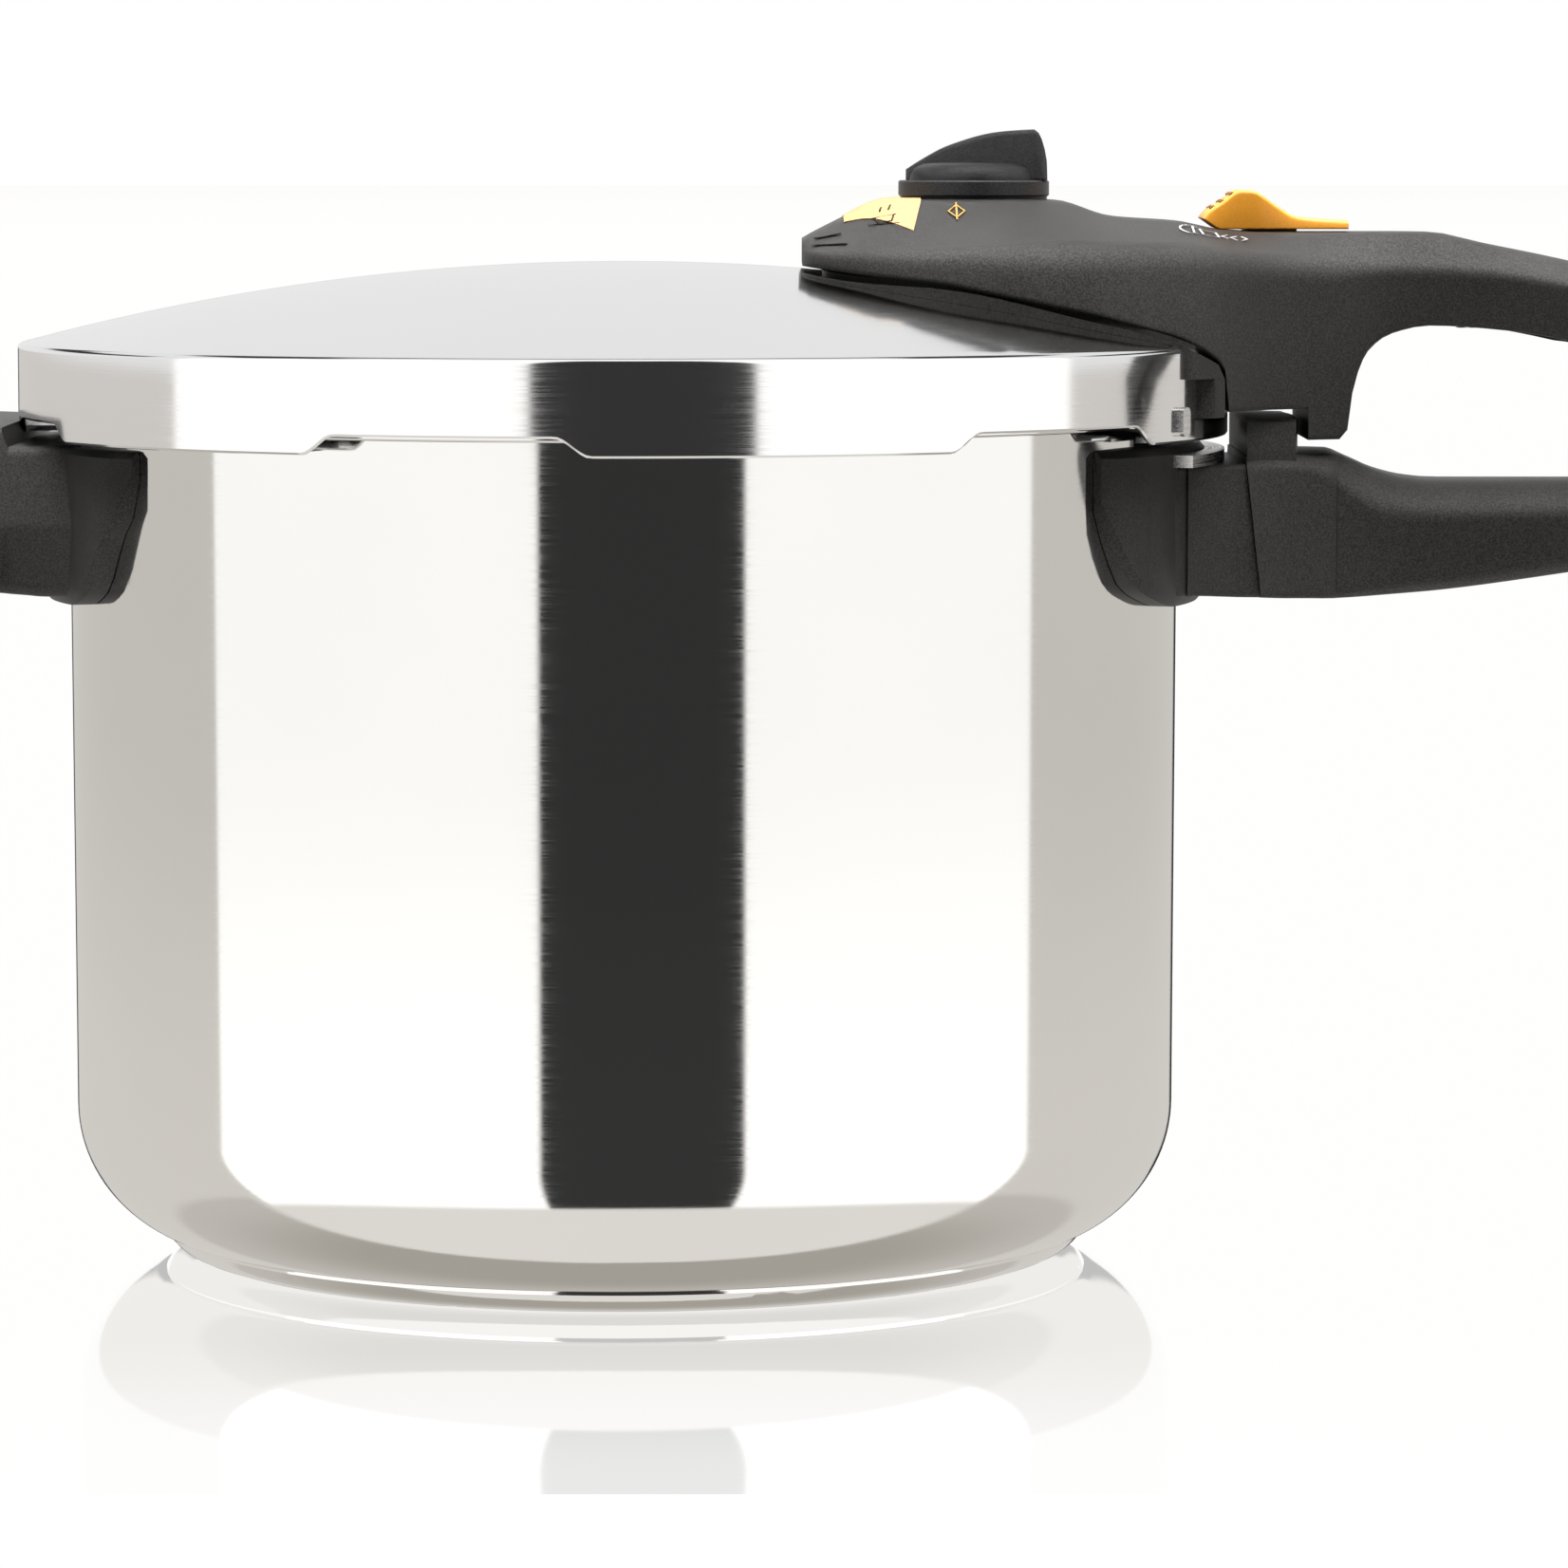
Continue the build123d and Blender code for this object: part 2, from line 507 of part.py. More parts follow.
def parting(lift):
    """Line where the two mouldings of the lid handle meet, raised by lift."""
    return placed([(35.0, 196.4 + lift), (46.0, 194.6 + lift), (64.0, 193.2 + lift), (92.0, 187.0 + lift),
                   (109.0, 182.4 + lift), (116.6 + lift * 0.6, 178.6 + lift), (118.0 + lift, 175.6),
                   (118.0 + lift, LEG_RECESS_Z - 0.9 - UP)])


def head_plan(inset):
    """Plan of the wide head that lies over the crown."""
    nose = 35.7 + OUT + inset
    half = [(60.0, 49.0), (78.0, 52.5), (92.0, 54.5), (108.0, 51.5), (118.0, 42.0)]
    half = [(x + OUT, y - inset) for x, y in half]
    corner = Spline((nose, 24.0), (nose + 8, 40.5 - inset), *half, tangents=[(0, 1), (0.6, -1)])
    end = (122.0 + OUT, half[-1][1] - 5)
    side = [corner, Line(corner @ 1, end)]
    return side + [mirror(edge, about=Plane.XZ) for edge in side] + [
        Line((nose, -24.0), (nose, 24.0)), Line(end, (end[0], -end[1]))]


def below_parting(lift):
    line = parting(lift)
    return side_cut([Spline(*line[:6]), Polyline(*line[5:], (line[0][0] - 5, line[-1][1]), line[0])], 80)


def head_bores():
    """Clearance round everything that passes up from the crown into the head."""
    low = SKIRT_Z + 16
    room = ring(VALVE_BOSS_R + 2.0, 0, low, VALVE_SEAT_Z + 6.0, KNOB_X)
    room += ring(VALVE_R + 1.0, 0, VALVE_SEAT_Z + 5.0, VALVE_TOP_Z + 1.4, KNOB_X)
    room += ring(SPINDLE_R + TURN_CLEAR, 0, VALVE_TOP_Z, OVER, KNOB_X)
    room += ring(PIN_BOSS_R + 1.0, 0, low, PIN_SEAT_Z + 3.4, PIN_X)
    room += ring(PIN_R + 1.0, 0, PIN_SEAT_Z + 3.0, LOCK_BAR_Z, PIN_X)
    room += ring(SAFETY_BOSS_R + 1.0, 0, low, SAFETY_CAP_Z + 1.2, SAFETY_X, SAFETY_Y)
    for x, y in LID_SCREW_PLACES:
        room += ring(SCREW_R + 0.1, 0, low, SCREW_TOP_Z + 0.5, x, y)
    return room


def lid_handle_base():
    """Lower moulding: lies on the crown and wraps over the skirt."""
    base = plan_cut(head_plan(0), UNDER, OVER) & below_parting(0)
    core = plan_cut(head_plan(GROOVE_DEPTH), UNDER, OVER) & below_parting(PARTING_GAP - TOUCH)
    base += core & block(0, LID_R - 9, 80, UNDER, OVER)
    base -= block(0, LID_R - 17, 80, UNDER, RIM_Z + 7)
    for side in (-1, 1):
        base -= block(LID_R - 21, LID_R + 4, 20, UNDER, RIM_Z + 8, side * (SADDLE_HALF + 20))
    return base - lid_solid(-TOUCH, UNDER) - head_bores()


HANDLE_SECTIONS = (
    (35.7, 27.0, 186.0, 26.0, 200.0, 22.0, 202.4),
    (42.5, 40.0, 186.0, 38.0, 200.0, 21.0, 206.0),
    (50.9, 46.5, 186.0, 44.0, 200.0, 19.0, 210.4),
    (64.0, 51.0, 184.0, 48.0, 200.4, 20.0, 210.4),
    (78.0, 53.5, 182.0, 50.0, 200.8, 20.0, 210.4),
    (86.1, 54.5, 180.0, 50.0, 201.2, 18.5, 210.2),
    (97.5, 54.0, 172.0, 47.5, 201.6, 16.5, 206.9),
    (110.8, 49.5, 164.0, 42.0, 201.4, 15.0, 206.2),
    (119.0, 41.5, 162.0, 36.0, 200.8, 14.0, 204.4),
    (129.0, 27.0, 162.0, 27.5, 200.0, 13.0, 203.9),
    (142.5, 18.5, 162.0, 20.5, 199.2, 12.0, 203.9),
    (153.0, 14.0, 182.0, 17.5, 198.8, 11.5, 203.9),
    (161.0, 13.0, 184.0, 16.2, 198.2, 11.0, 203.8),
    (172.0, 12.6, 184.0, 15.6, 196.4, 10.0, 201.6),
    (189.0, 12.5, 182.0, 15.2, 193.2, 9.2, 198.1),
    (226.0, 12.5, 170.4, 15.4, 184.0, 9.0, 188.8),
    (256.0, 12.0, 160.4, 15.0, 175.0, 8.5, 179.4),
    (272.0, 8.0, 158.6, 10.5, 168.4, 6.0, 171.6))


def handle_side():
    """Side view of the upper moulding, cut to the parting line, the leg and the finger space."""
    line = parting(PARTING_GAP)
    heel = (LEG_X1 + 1.4, LEG_Z + 1.5)
    leg = Polyline(line[-1], (LEG_X0, LEG_RECESS_Z), (LEG_INNER_X, LEG_RECESS_Z), (LEG_INNER_X, LEG_Z),
                   (LEG_X1, LEG_Z), heel)
    arch = placed([(144.9, 172.0), (148.0, 180.4), (160.5, 185.4), (176.0, 184.4), (226.0, 171.2),
                   (256.0, 160.8)])
    under = Spline(heel, *arch, tangents=[(0, 1), (1, -0.36)])
    rear = Polyline(arch[-1], *placed([(280.0, 154.0), (280.0, 220.0), (30.0, 220.0)]), line[0])
    return [Spline(*line[:6]), Polyline(*line[5:]), leg, under, rear]


def grip_cover_cut(clear):
    """Slot in the underside of the grip that the cover closes."""
    lower = [(x, z - 3) for x, z in COVER_PATH]
    upper = [(x, z + COVER_T + clear) for x, z in COVER_PATH]
    return side_cut([Polyline(*upper, *reversed(lower), close=True)], COVER_HALF + clear)


def handle_blank():
    blank = loft([section(*values, 1.6) for values in HANDLE_SECTIONS], ruled=True)
    return blank & side_cut(handle_side(), 80)


def lock_room():
    """Chamber and slots for the lock bar and the button's stem."""
    floor, roof = LOCK_BAR_Z - TURN_CLEAR, LOCK_BAR_Z + BAR_T + 0.4
    chamber = block(PIN_X - PIN_R - 3.6, BUTTON_X1 + 1.3, BAR_HALF + 0.4, floor, roof)
    stem = block(BUTTON_X0 + 6.4, BUTTON_X1 + 0.3, 4.0, LOCK_BAR_Z, BUTTON_Z + 6)
    bolt = block(LEG_INNER_X - 9.9, LEG_INNER_X + 4.5, 4.0, LEG_RECESS_Z - 1, LOCK_BAR_Z + 1)
    return chamber + stem + bolt


def lid_handle_body():
    body = handle_blank() - lid_solid(-TOUCH, UNDER) - head_bores() - lock_room()
    body -= plan_cut(head_plan(GROOVE_DEPTH), UNDER, OVER) & below_parting(PARTING_GAP)
    body -= label_blank(TOUCH)
    for x in COVER_SCREW_X:
        body -= ring(1.4, 0, grip_low_z(x) - 2, grip_low_z(x) + 8, x)
    return body - grip_cover_cut(0.15)


def grip_low_z(x):
    """Height of the underside of the upper grip, between the points of the cover's path."""
    for (x0, z0), (x1, z1) in zip(COVER_PATH, COVER_PATH[1:]):
        if x0 <= x <= x1:
            return z0 + (z1 - z0) * (x - x0) / (x1 - x0)


def grip_cover():
    """Strip that closes the underside of the upper grip."""
    cover = grip_cover_cut(0) & handle_blank()
    for x in COVER_SCREW_X:
        cover -= ring(1.6, 0, grip_low_z(x) - 9, OVER, x)
        cover -= ring(3.2, 0, grip_low_z(x) - 9, grip_low_z(x) + 0.9, x)
    return cover


def cover_screws():
    group = []
    for x in COVER_SCREW_X:
        z = grip_low_z(x)
        head = ring(3.0, 0, z - 0.5, z + 0.88, x)
        group.append(head + ring(1.3, 0, z, z + 7.5, x) - block(x - 4, x + 4, 0.4, z - 1, z + 0.2))
    return Compound(children=group)


def lid_screws():
    """Domed screws up through the crown into the head."""
    group = []
    for x, y in LID_SCREW_PLACES:
        top = dome_z(math.hypot(x, y) + SCREW_HEAD_R, LID_T) - 0.1
        head = ring(SCREW_HEAD_R, 0, top - 2.6, top, x, y)
        head = fillet(head.edges().group_by(Axis.Z)[0], 1.6)
        shank = ring(SCREW_R, 0, top, SCREW_TOP_Z, x, y)
        group.append(head + shank - block(x - 5, x + 5, 0.5, top - 3, top - 1.6, y))
    return Compound(children=group)


def label_plane():
    """Slope of the nose, rising from the front edge to the deck."""
    return Plane(origin=(43.3 + OUT, 0, 206.4 + UP), x_dir=(0, 1, 0), z_dir=(-8.0, 0, 15.2))


def label_blank(clear):
    """Inlay panel let into the nose's slope."""
    return label_plane().location * (Pos(-4.0, 2.4, 0) * Box(27.0 + clear, 8.4 + clear, 1.4))


# ------------------------------------------------- valves

def hex_nut(x, y, across, bore, z0, z1):
    nut = extrude(Plane.XY.offset(z0) * RegularPolygon(across / 2, 6, major_radius=False), z1 - z0)
    nut = Pos(x, y, 0) * nut - ring(bore, 0, z0 - 1, z1 + 1, x, y)
    return nut & ring(across / 2 + 0.9, 0, z0, z1, x, y)


def valve_body():
    """Operating valve housing, clamped through the crown under the knob."""
    low = VALVE_NUT_Z - SEAL_T - NUT_T - 2.0
    body = ring(VALVE_R, 0, low, VALVE_SEAT_Z + 1, KNOB_X)
    body += ring(VALVE_FLANGE_R, 0, VALVE_SEAT_Z + TOUCH, VALVE_SEAT_Z + 2.2, KNOB_X)
    body += ring(SPINDLE_R + 2.2, 0, VALVE_SEAT_Z + 2, VALVE_TOP_Z, KNOB_X)
    body -= ring(SPINDLE_R, 0, low + 4.0, VALVE_TOP_Z + 1, KNOB_X)
    return body - ring(1.8, 0, low - 1, low + 5, KNOB_X)


def plunger_z():
    return VALVE_NUT_Z - SEAL_T - NUT_T + 2.0 + TURN_CLEAR


def valve_plunger():
    """Weighted plunger that lifts off the orifice when the pressure is reached."""
    plug = ring(SPINDLE_R - SLIDE_CLEAR, 0, plunger_z(), plunger_z() + PLUNGER_H, KNOB_X)
    return chamfer(plug.edges().group_by(Axis.Z)[0], 1.6)


def coil(x, y, z0, z1, radius, wire, turns):
    pitch = (z1 - z0 - 2 * wire) / turns
    path = Helix(pitch=pitch, height=pitch * turns, radius=radius)
    spring = sweep(Plane(origin=path @ 0, z_dir=path % 0) * Circle(wire), path=path)
    return Pos(x, y, z0 + wire) * spring


def valve_spring():
    return coil(KNOB_X, 0, plunger_z() + PLUNGER_H + 0.1, SPINDLE_Z - 0.1, SPINDLE_R - 1.2, 0.45, 4)


def safety_body():
    low = SAFETY_NUT_Z - SEAL_T - NUT_T - 1.0
    body = ring(SAFETY_R, 0, low, SAFETY_SEAT_Z + 1, SAFETY_X, SAFETY_Y)
    body += ring(SAFETY_FLANGE_R, 0, SAFETY_SEAT_Z + TOUCH, SAFETY_SEAT_Z + 2.0, SAFETY_X, SAFETY_Y)
    body += ring(SAFETY_R - 0.6, 0, SAFETY_SEAT_Z + 1.5, SAFETY_CAP_Z, SAFETY_X, SAFETY_Y)
    body -= ring(SAFETY_R - 2.4, 0, low + 3.0, SAFETY_CAP_Z - 1.2, SAFETY_X, SAFETY_Y)
    body -= ring(1.5, 0, low - 1, low + 4, SAFETY_X, SAFETY_Y)
    return body - ring(1.2, 0, SAFETY_CAP_Z - 2, SAFETY_CAP_Z + 1, SAFETY_X, SAFETY_Y)


def poppet_z():
    return SAFETY_NUT_Z - SEAL_T - NUT_T + 2.0 + TURN_CLEAR


def safety_poppet():
    plug = ring(SAFETY_R - 2.4 - SLIDE_CLEAR, 0, poppet_z(), poppet_z() + POPPET_H, SAFETY_X, SAFETY_Y)
    return chamfer(plug.edges().group_by(Axis.Z)[0], 1.4)


def safety_spring():
    low = poppet_z() + POPPET_H + 0.1
    return coil(SAFETY_X, SAFETY_Y, low, SAFETY_CAP_Z - 1.3, SAFETY_R - 3.3, 0.35, 6)


def pin_bush():
    bush = ring(PIN_BUSH_R, 0, PIN_NUT_Z - 4.2, PIN_SEAT_Z + 1, PIN_X)
    bush += ring(PIN_FLANGE_R, 0, PIN_SEAT_Z + TOUCH, PIN_SEAT_Z + 1.8, PIN_X)
    return bush - ring(PIN_R + SLIDE_CLEAR, 0, PIN_NUT_Z - 6, PIN_SEAT_Z + 3, PIN_X)


def lock_pin():
    """Pin that the pressure lifts into the lock bar, so the lid cannot be opened."""
    head_top = PIN_NUT_Z - 4.2 - PIN_RISE - TURN_CLEAR
    pin = ring(PIN_R, 0, head_top - 1, LOCK_BAR_Z - 1.2, PIN_X)
    return pin + ring(PIN_R + 1.6, 0, head_top - 1.4, head_top, PIN_X)


def seal_ring(x, y, r_in, r_out, top):
    return ring(r_out, r_in + 0.05, top - SEAL_T + TOUCH, top - TOUCH, x, y)


def under_nut(x, y, bore, top):
    """Nut below its seal, its width set by the thread it runs on."""
    low = top - SEAL_T - NUT_T
    return hex_nut(x, y, 2 * bore + 5.0, bore + 0.05, low, low + NUT_T)


# ------------------------------------------------- knob

def knob_ring():
    collar = ring(KNOB_R, KNOB_R - 1.6, KNOB_Z, KNOB_Z + 3.2, KNOB_X)
    return fillet(collar.edges().filter_by(GeomType.CIRCLE).group_by(SortBy.RADIUS)[-1], 0.4)


def knob_body():
    """Round core of the knob under its wing."""
    z0, z1 = KNOB_Z + 0.1, KNOB_Z + 6.6
    core = Pos(KNOB_X, 0, (z0 + z1) / 2) * Cone(KNOB_R - 1.7, KNOB_R - 3.2, z1 - z0)
    return core - ring(SPINDLE_R - 1.25, 0, z0 - 1, KNOB_Z + 3.4, KNOB_X) - knob_wing()


def knob_wing():
    """Wing that fingers turn: low at the front, high and blunt at the back."""
    x, r = KNOB_X, KNOB_R
    ridge = Spline((x - r + 1.9, KNOB_Z + 5.0), (x - 0.33 * r, KNOB_Z + 10.0), (x + 0.3 * r, KNOB_Z + 12.6),
                   (x + r - 3.0, KNOB_Z + 13.2))
    back = Spline(ridge @ 1, (x + r - 1.1, KNOB_Z + 9.5), (x + r - 0.5, KNOB_Z + 3.4))
    side = side_cut([ridge, back, Polyline(back @ 1, (x - r + 1.9, KNOB_Z + 3.4), ridge @ 0)], 20)
    plan = plan_cut(Polyline((x - r, -1.6), (x + r + 1, -6.2), (x + r + 1, 6.2), (x - r, 1.6), close=True),
                    KNOB_Z, KNOB_Z + 16)
    return side & plan & ring(r - 0.1, 0, KNOB_Z + 3.4, KNOB_Z + 16, x)


def knob_spindle():
    """Square-shouldered spindle that carries the knob and loads the valve spring."""
    shaft = ring(SPINDLE_R - 1.3, 0, VALVE_TOP_Z - 0.6, KNOB_Z + 3.3, KNOB_X)
    return shaft + ring(SPINDLE_R - SLIDE_CLEAR, 0, SPINDLE_Z, VALVE_TOP_Z - 0.4, KNOB_X)


# ------------------------------------------------- lock

def lock_button():
    """Thumb slide: a sloped front with three finger ribs and a low tail."""
    x, z = BUTTON_X0, BUTTON_Z
    outline = Polyline((x, z + 2.6), (x + 7.6, z + 7.9), (x + 10.4, z + 7.7), (x + 15.2, z + 4.3),
                       (x + 18.4, z + 2.7), (BUTTON_X1, z + 1.9), (BUTTON_X1, z + 0.2),
                       (x + 3.4, z + 0.2), close=True)
    button = side_cut(outline, BUTTON_HALF)
    for i in range(3):
        rib = Pos(x + 1.6 + i * 2.1, 0, z + 4.1 + i * 1.46) * Rot(0, -34.9, 0)
        button -= rib * Box(0.8, 2 * BUTTON_HALF - 5, 1.2)
    return button + block(x + 8.4, x + 19.0, 3.7, LOCK_BAR_Z + BAR_T, z + 1)


def lock_bar():
    """Slider under the button: a hole over the pressure pin and a bolt that hangs down the leg."""
    bar = block(PIN_X - PIN_R - 3.3, BUTTON_X0 + 21.4, BAR_HALF, LOCK_BAR_Z, LOCK_BAR_Z + BAR_T)
    bar -= ring(PIN_R + 0.8, 0, LOCK_BAR_Z - 1, LOCK_BAR_Z + 5, PIN_X)
    return bar + block(LEG_INNER_X - 8.9, LEG_INNER_X - 4.4, 3.7, LEG_RECESS_Z + 0.4, LOCK_BAR_Z)


def lock_spring():
    """Return spring behind the lock bar."""
    start, end = BUTTON_X0 + 21.5, BUTTON_X1 + 1.2
    spring = coil(0, 0, 0, end - start, 1.2, 0.25, 6)
    return Pos(start, 0, LOCK_BAR_Z + BAR_T / 2) * Rot(0, 90, 0) * spring


# ------------------------------------------------- write the pieces

PARTS = {
    "pot_shell": pot_shell,
    "base_core": base_core,
    "base_cap": base_cap,
    "pot_handle_bracket": pot_handle_bracket,
    "pot_handle_yoke": pot_handle_yoke,
    "pot_handle_grip": pot_handle_grip,
    "pot_handle_screw": lambda: handle_screw(HANDLE_SCREW_X),
    "helper_handle_bracket": lambda: handle_tongue(180),
    "helper_handle_yoke": helper_handle_yoke,
    "helper_handle_grip": helper_handle_grip,
    "helper_handle_screw": lambda: handle_screw(-HANDLE_SCREW_X),
    "lid_gasket": gasket,
    "lid_shell": lid_shell,
    "lid_rim_stud": rim_stud,
    "lid_handle_base": lid_handle_base,
    "lid_handle_body": lid_handle_body,
    "lid_grip_cover": grip_cover,
    "lid_grip_screws": cover_screws,
    "lid_handle_screws": lid_screws,
    "label_panel": lambda: label_blank(0),
    "valve_body": valve_body,
    "valve_nut": lambda: under_nut(KNOB_X, 0, VALVE_R, VALVE_NUT_Z),
    "valve_seal": lambda: seal_ring(KNOB_X, 0, VALVE_R, VALVE_FLANGE_R, VALVE_NUT_Z),
    "valve_spring": valve_spring,
    "valve_plunger": valve_plunger,
    "safety_valve_body": safety_body,
    "safety_valve_nut": lambda: under_nut(SAFETY_X, SAFETY_Y, SAFETY_R, SAFETY_NUT_Z),
    "safety_valve_seal": lambda: seal_ring(SAFETY_X, SAFETY_Y, SAFETY_R, SAFETY_FLANGE_R, SAFETY_NUT_Z),
    "safety_valve_spring": safety_spring,
    "safety_valve_poppet": safety_poppet,
    "lock_pin_bush": pin_bush,
    "lock_pin_seal": lambda: seal_ring(PIN_X, 0, PIN_BUSH_R, PIN_FLANGE_R, PIN_NUT_Z),
    "pressure_lock_pin": lock_pin,
    "knob_ring": knob_ring,
    "knob_body": knob_body,
    "knob_wing": knob_wing,
    "knob_spindle": knob_spindle,
    "lock_button": lock_button,
    "lock_bar": lock_bar,
    "lock_spring": lock_spring,
}

if __name__ == "__main__":
    os.makedirs("parts", exist_ok=True)
    for name, make in PARTS.items():
        piece = make()
        piece.label = name
        export_step(piece, f"parts/{name}.step")
        print(name, round(piece.volume / 1000, 2), "cm3")
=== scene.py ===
"""Looks of a stovetop pressure cooker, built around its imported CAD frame. Metres, +Z up."""
import bpy
import bmesh
import json
import math
from mathutils import Matrix, Vector


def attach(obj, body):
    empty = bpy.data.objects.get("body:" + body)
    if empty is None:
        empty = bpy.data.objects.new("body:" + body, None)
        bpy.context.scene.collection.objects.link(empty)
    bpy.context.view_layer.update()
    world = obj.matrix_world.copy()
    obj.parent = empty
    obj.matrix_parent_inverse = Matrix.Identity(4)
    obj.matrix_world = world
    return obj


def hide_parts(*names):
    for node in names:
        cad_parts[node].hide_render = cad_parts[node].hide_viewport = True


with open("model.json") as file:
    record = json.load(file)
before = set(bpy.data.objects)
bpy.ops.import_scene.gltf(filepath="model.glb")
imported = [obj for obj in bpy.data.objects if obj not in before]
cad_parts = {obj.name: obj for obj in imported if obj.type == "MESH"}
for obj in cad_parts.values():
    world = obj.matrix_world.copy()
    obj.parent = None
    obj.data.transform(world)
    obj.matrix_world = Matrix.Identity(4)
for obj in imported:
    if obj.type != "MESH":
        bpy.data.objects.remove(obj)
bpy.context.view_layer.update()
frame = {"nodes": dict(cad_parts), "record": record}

MM = 0.001


# ---------------------------------------------------------------- shader helpers

class Nodes:
    """A small writer for one node tree."""

    def __init__(self, tree):
        self.tree = tree
        tree.nodes.clear()

    def add(self, kind, **settings):
        node = self.tree.nodes.new(kind)
        for name, value in settings.items():
            setattr(node, name, value)
        return node

    def feed(self, socket, value):
        if isinstance(value, bpy.types.NodeSocket):
            self.tree.links.new(value, socket)
        else:
            socket.default_value = value

    def math(self, operation, *values, clamp=False):
        node = self.add("ShaderNodeMath", operation=operation, use_clamp=clamp)
        for socket, value in zip(node.inputs, values):
            self.feed(socket, value)
        return node.outputs[0]

    def mix(self, factor, a, b):
        node = self.add("ShaderNodeMix", data_type="RGBA")
        self.feed(node.inputs["Factor"], factor)
        self.feed(node.inputs[6], a)
        self.feed(node.inputs[7], b)
        return node.outputs[2]

    def ease(self, value, low, high, to_low=0.0, to_high=1.0):
        node = self.add("ShaderNodeMapRange", interpolation_type="SMOOTHSTEP")
        limits = {"From Min": low, "From Max": high, "To Min": to_low, "To Max": to_high}
        for name, number in limits.items():
            node.inputs[name].default_value = number
        self.feed(node.inputs["Value"], value)
        return node.outputs[0]

    def noise(self, vector, scale, detail=2.0, roughness=0.5):
        node = self.add("ShaderNodeTexNoise")
        self.feed(node.inputs["Vector"], vector)
        node.inputs["Scale"].default_value = scale
        node.inputs["Detail"].default_value = detail
        node.inputs["Roughness"].default_value = roughness
        return node.outputs["Fac"]


def shader_group(name, inputs, outputs):
    """An empty node group with named float or vector sockets."""
    tree = bpy.data.node_groups.new(name, "ShaderNodeTree")
    for label, kind in inputs:
        tree.interface.new_socket(label, in_out="INPUT", socket_type=kind)
    for label, kind in outputs:
        tree.interface.new_socket(label, in_out="OUTPUT", socket_type=kind)
    writer = Nodes(tree)
    return writer, writer.add("NodeGroupInput"), writer.add("NodeGroupOutput")


def moulded_grain_group():
    """Fine spark-eroded grain of a moulded surface, with a slow drift in its shade."""
    n, source, result = shader_group(
        "MouldedGrain", [("Place", "NodeSocketVector"), ("Grain", "NodeSocketFloat")],
        [("Height", "NodeSocketFloat"), ("Shade", "NodeSocketFloat")])
    place = source.outputs["Place"]
    fine = n.noise(place, 2600.0, 2.0, 0.7)
    coarse = n.noise(place, 900.0, 1.0)
    relief = n.math("ADD", fine, n.math("MULTIPLY", coarse, 0.6))
    height = n.math("MULTIPLY", relief, source.outputs["Grain"])
    drift = n.noise(place, 30.0, 2.0)
    speckle = n.ease(fine, 0.38, 0.64, -0.5, 0.5)
    shade = n.math("ADD", n.ease(drift, 0.3, 0.7, -0.12, 0.12), n.math("MULTIPLY", speckle, 0.8))
    n.feed(result.inputs["Height"], height)
    n.feed(result.inputs["Shade"], shade)
    return n.tree


def turned_lines_group():
    """Very fine lines round the Z axis, as polishing on a lathe leaves them."""
    n, source, result = shader_group(
        "TurnedLines", [("Place", "NodeSocketVector"), ("Fineness", "NodeSocketFloat")],
        [("Height", "NodeSocketFloat"), ("Lines", "NodeSocketFloat")])
    split = n.add("ShaderNodeSeparateXYZ")
    n.feed(split.inputs[0], source.outputs["Place"])
    x, y, z = split.outputs
    radius = n.math("SQRT", n.math("ADD", n.math("MULTIPLY", x, x), n.math("MULTIPLY", y, y)))
    angle = n.math("ARCTAN2", y, x)
    spread = n.add("ShaderNodeCombineXYZ")
    n.feed(spread.inputs[0], n.math("MULTIPLY", radius, source.outputs["Fineness"]))
    n.feed(spread.inputs[1], n.math("MULTIPLY", angle, 5.0))
    n.feed(spread.inputs[2], n.math("MULTIPLY", z, source.outputs["Fineness"]))
    lines = n.noise(spread.outputs[0], 1.0, 3.0, 0.65)
    n.feed(result.inputs["Height"], lines)
    n.feed(result.inputs["Lines"], n.ease(lines, 0.35, 0.65))
    return n.tree


GRAIN = moulded_grain_group()
LINES = turned_lines_group()


def new_material(name):
    """A material with one surface shader, its writer and the object's own coordinates."""
    material = bpy.data.materials.new(name)
    material.use_nodes = True
    n = Nodes(material.node_tree)
    shader = n.add("ShaderNodeBsdfPrincipled")
    output = n.add("ShaderNodeOutputMaterial")
    n.feed(output.inputs["Surface"], shader.outputs[0])
    place = n.add("ShaderNodeTexCoord").outputs["Object"]
    return material, n, shader, place


def use_group(n, group, **values):
    """A shader group in a material, with its sockets set or linked."""
    node = n.add("ShaderNodeGroup", node_tree=group)
    for name, value in values.items():
        n.feed(node.inputs[name], value)
    return node


def bump(n, shader, height, strength, distance):
    """Relief of a height in metres on a surface shader."""
    node = n.add("ShaderNodeBump")
    node.inputs["Strength"].default_value = strength
    node.inputs["Distance"].default_value = distance
    n.feed(node.inputs["Height"], height)
    n.feed(shader.inputs["Normal"], node.outputs[0])


def plastic(name, dark, light, roughness, grain=1.0, spec=0.5):
    """Moulded plastic with grain in its relief, shade and gloss."""
    material, n, shader, place = new_material(name)
    group = use_group(n, GRAIN, Place=place, Grain=grain)
    factor = n.math("ADD", group.outputs["Shade"], 0.5, clamp=True)
    n.feed(shader.inputs["Base Color"], n.mix(factor, (*dark, 1), (*light, 1)))
    gloss = n.math("MULTIPLY", group.outputs["Shade"], 0.12)
    n.feed(shader.inputs["Roughness"], n.math("ADD", gloss, roughness))
    shader.inputs["Specular IOR Level"].default_value = spec
    bump(n, shader, group.outputs["Height"], 0.35, 0.00006)
    return material


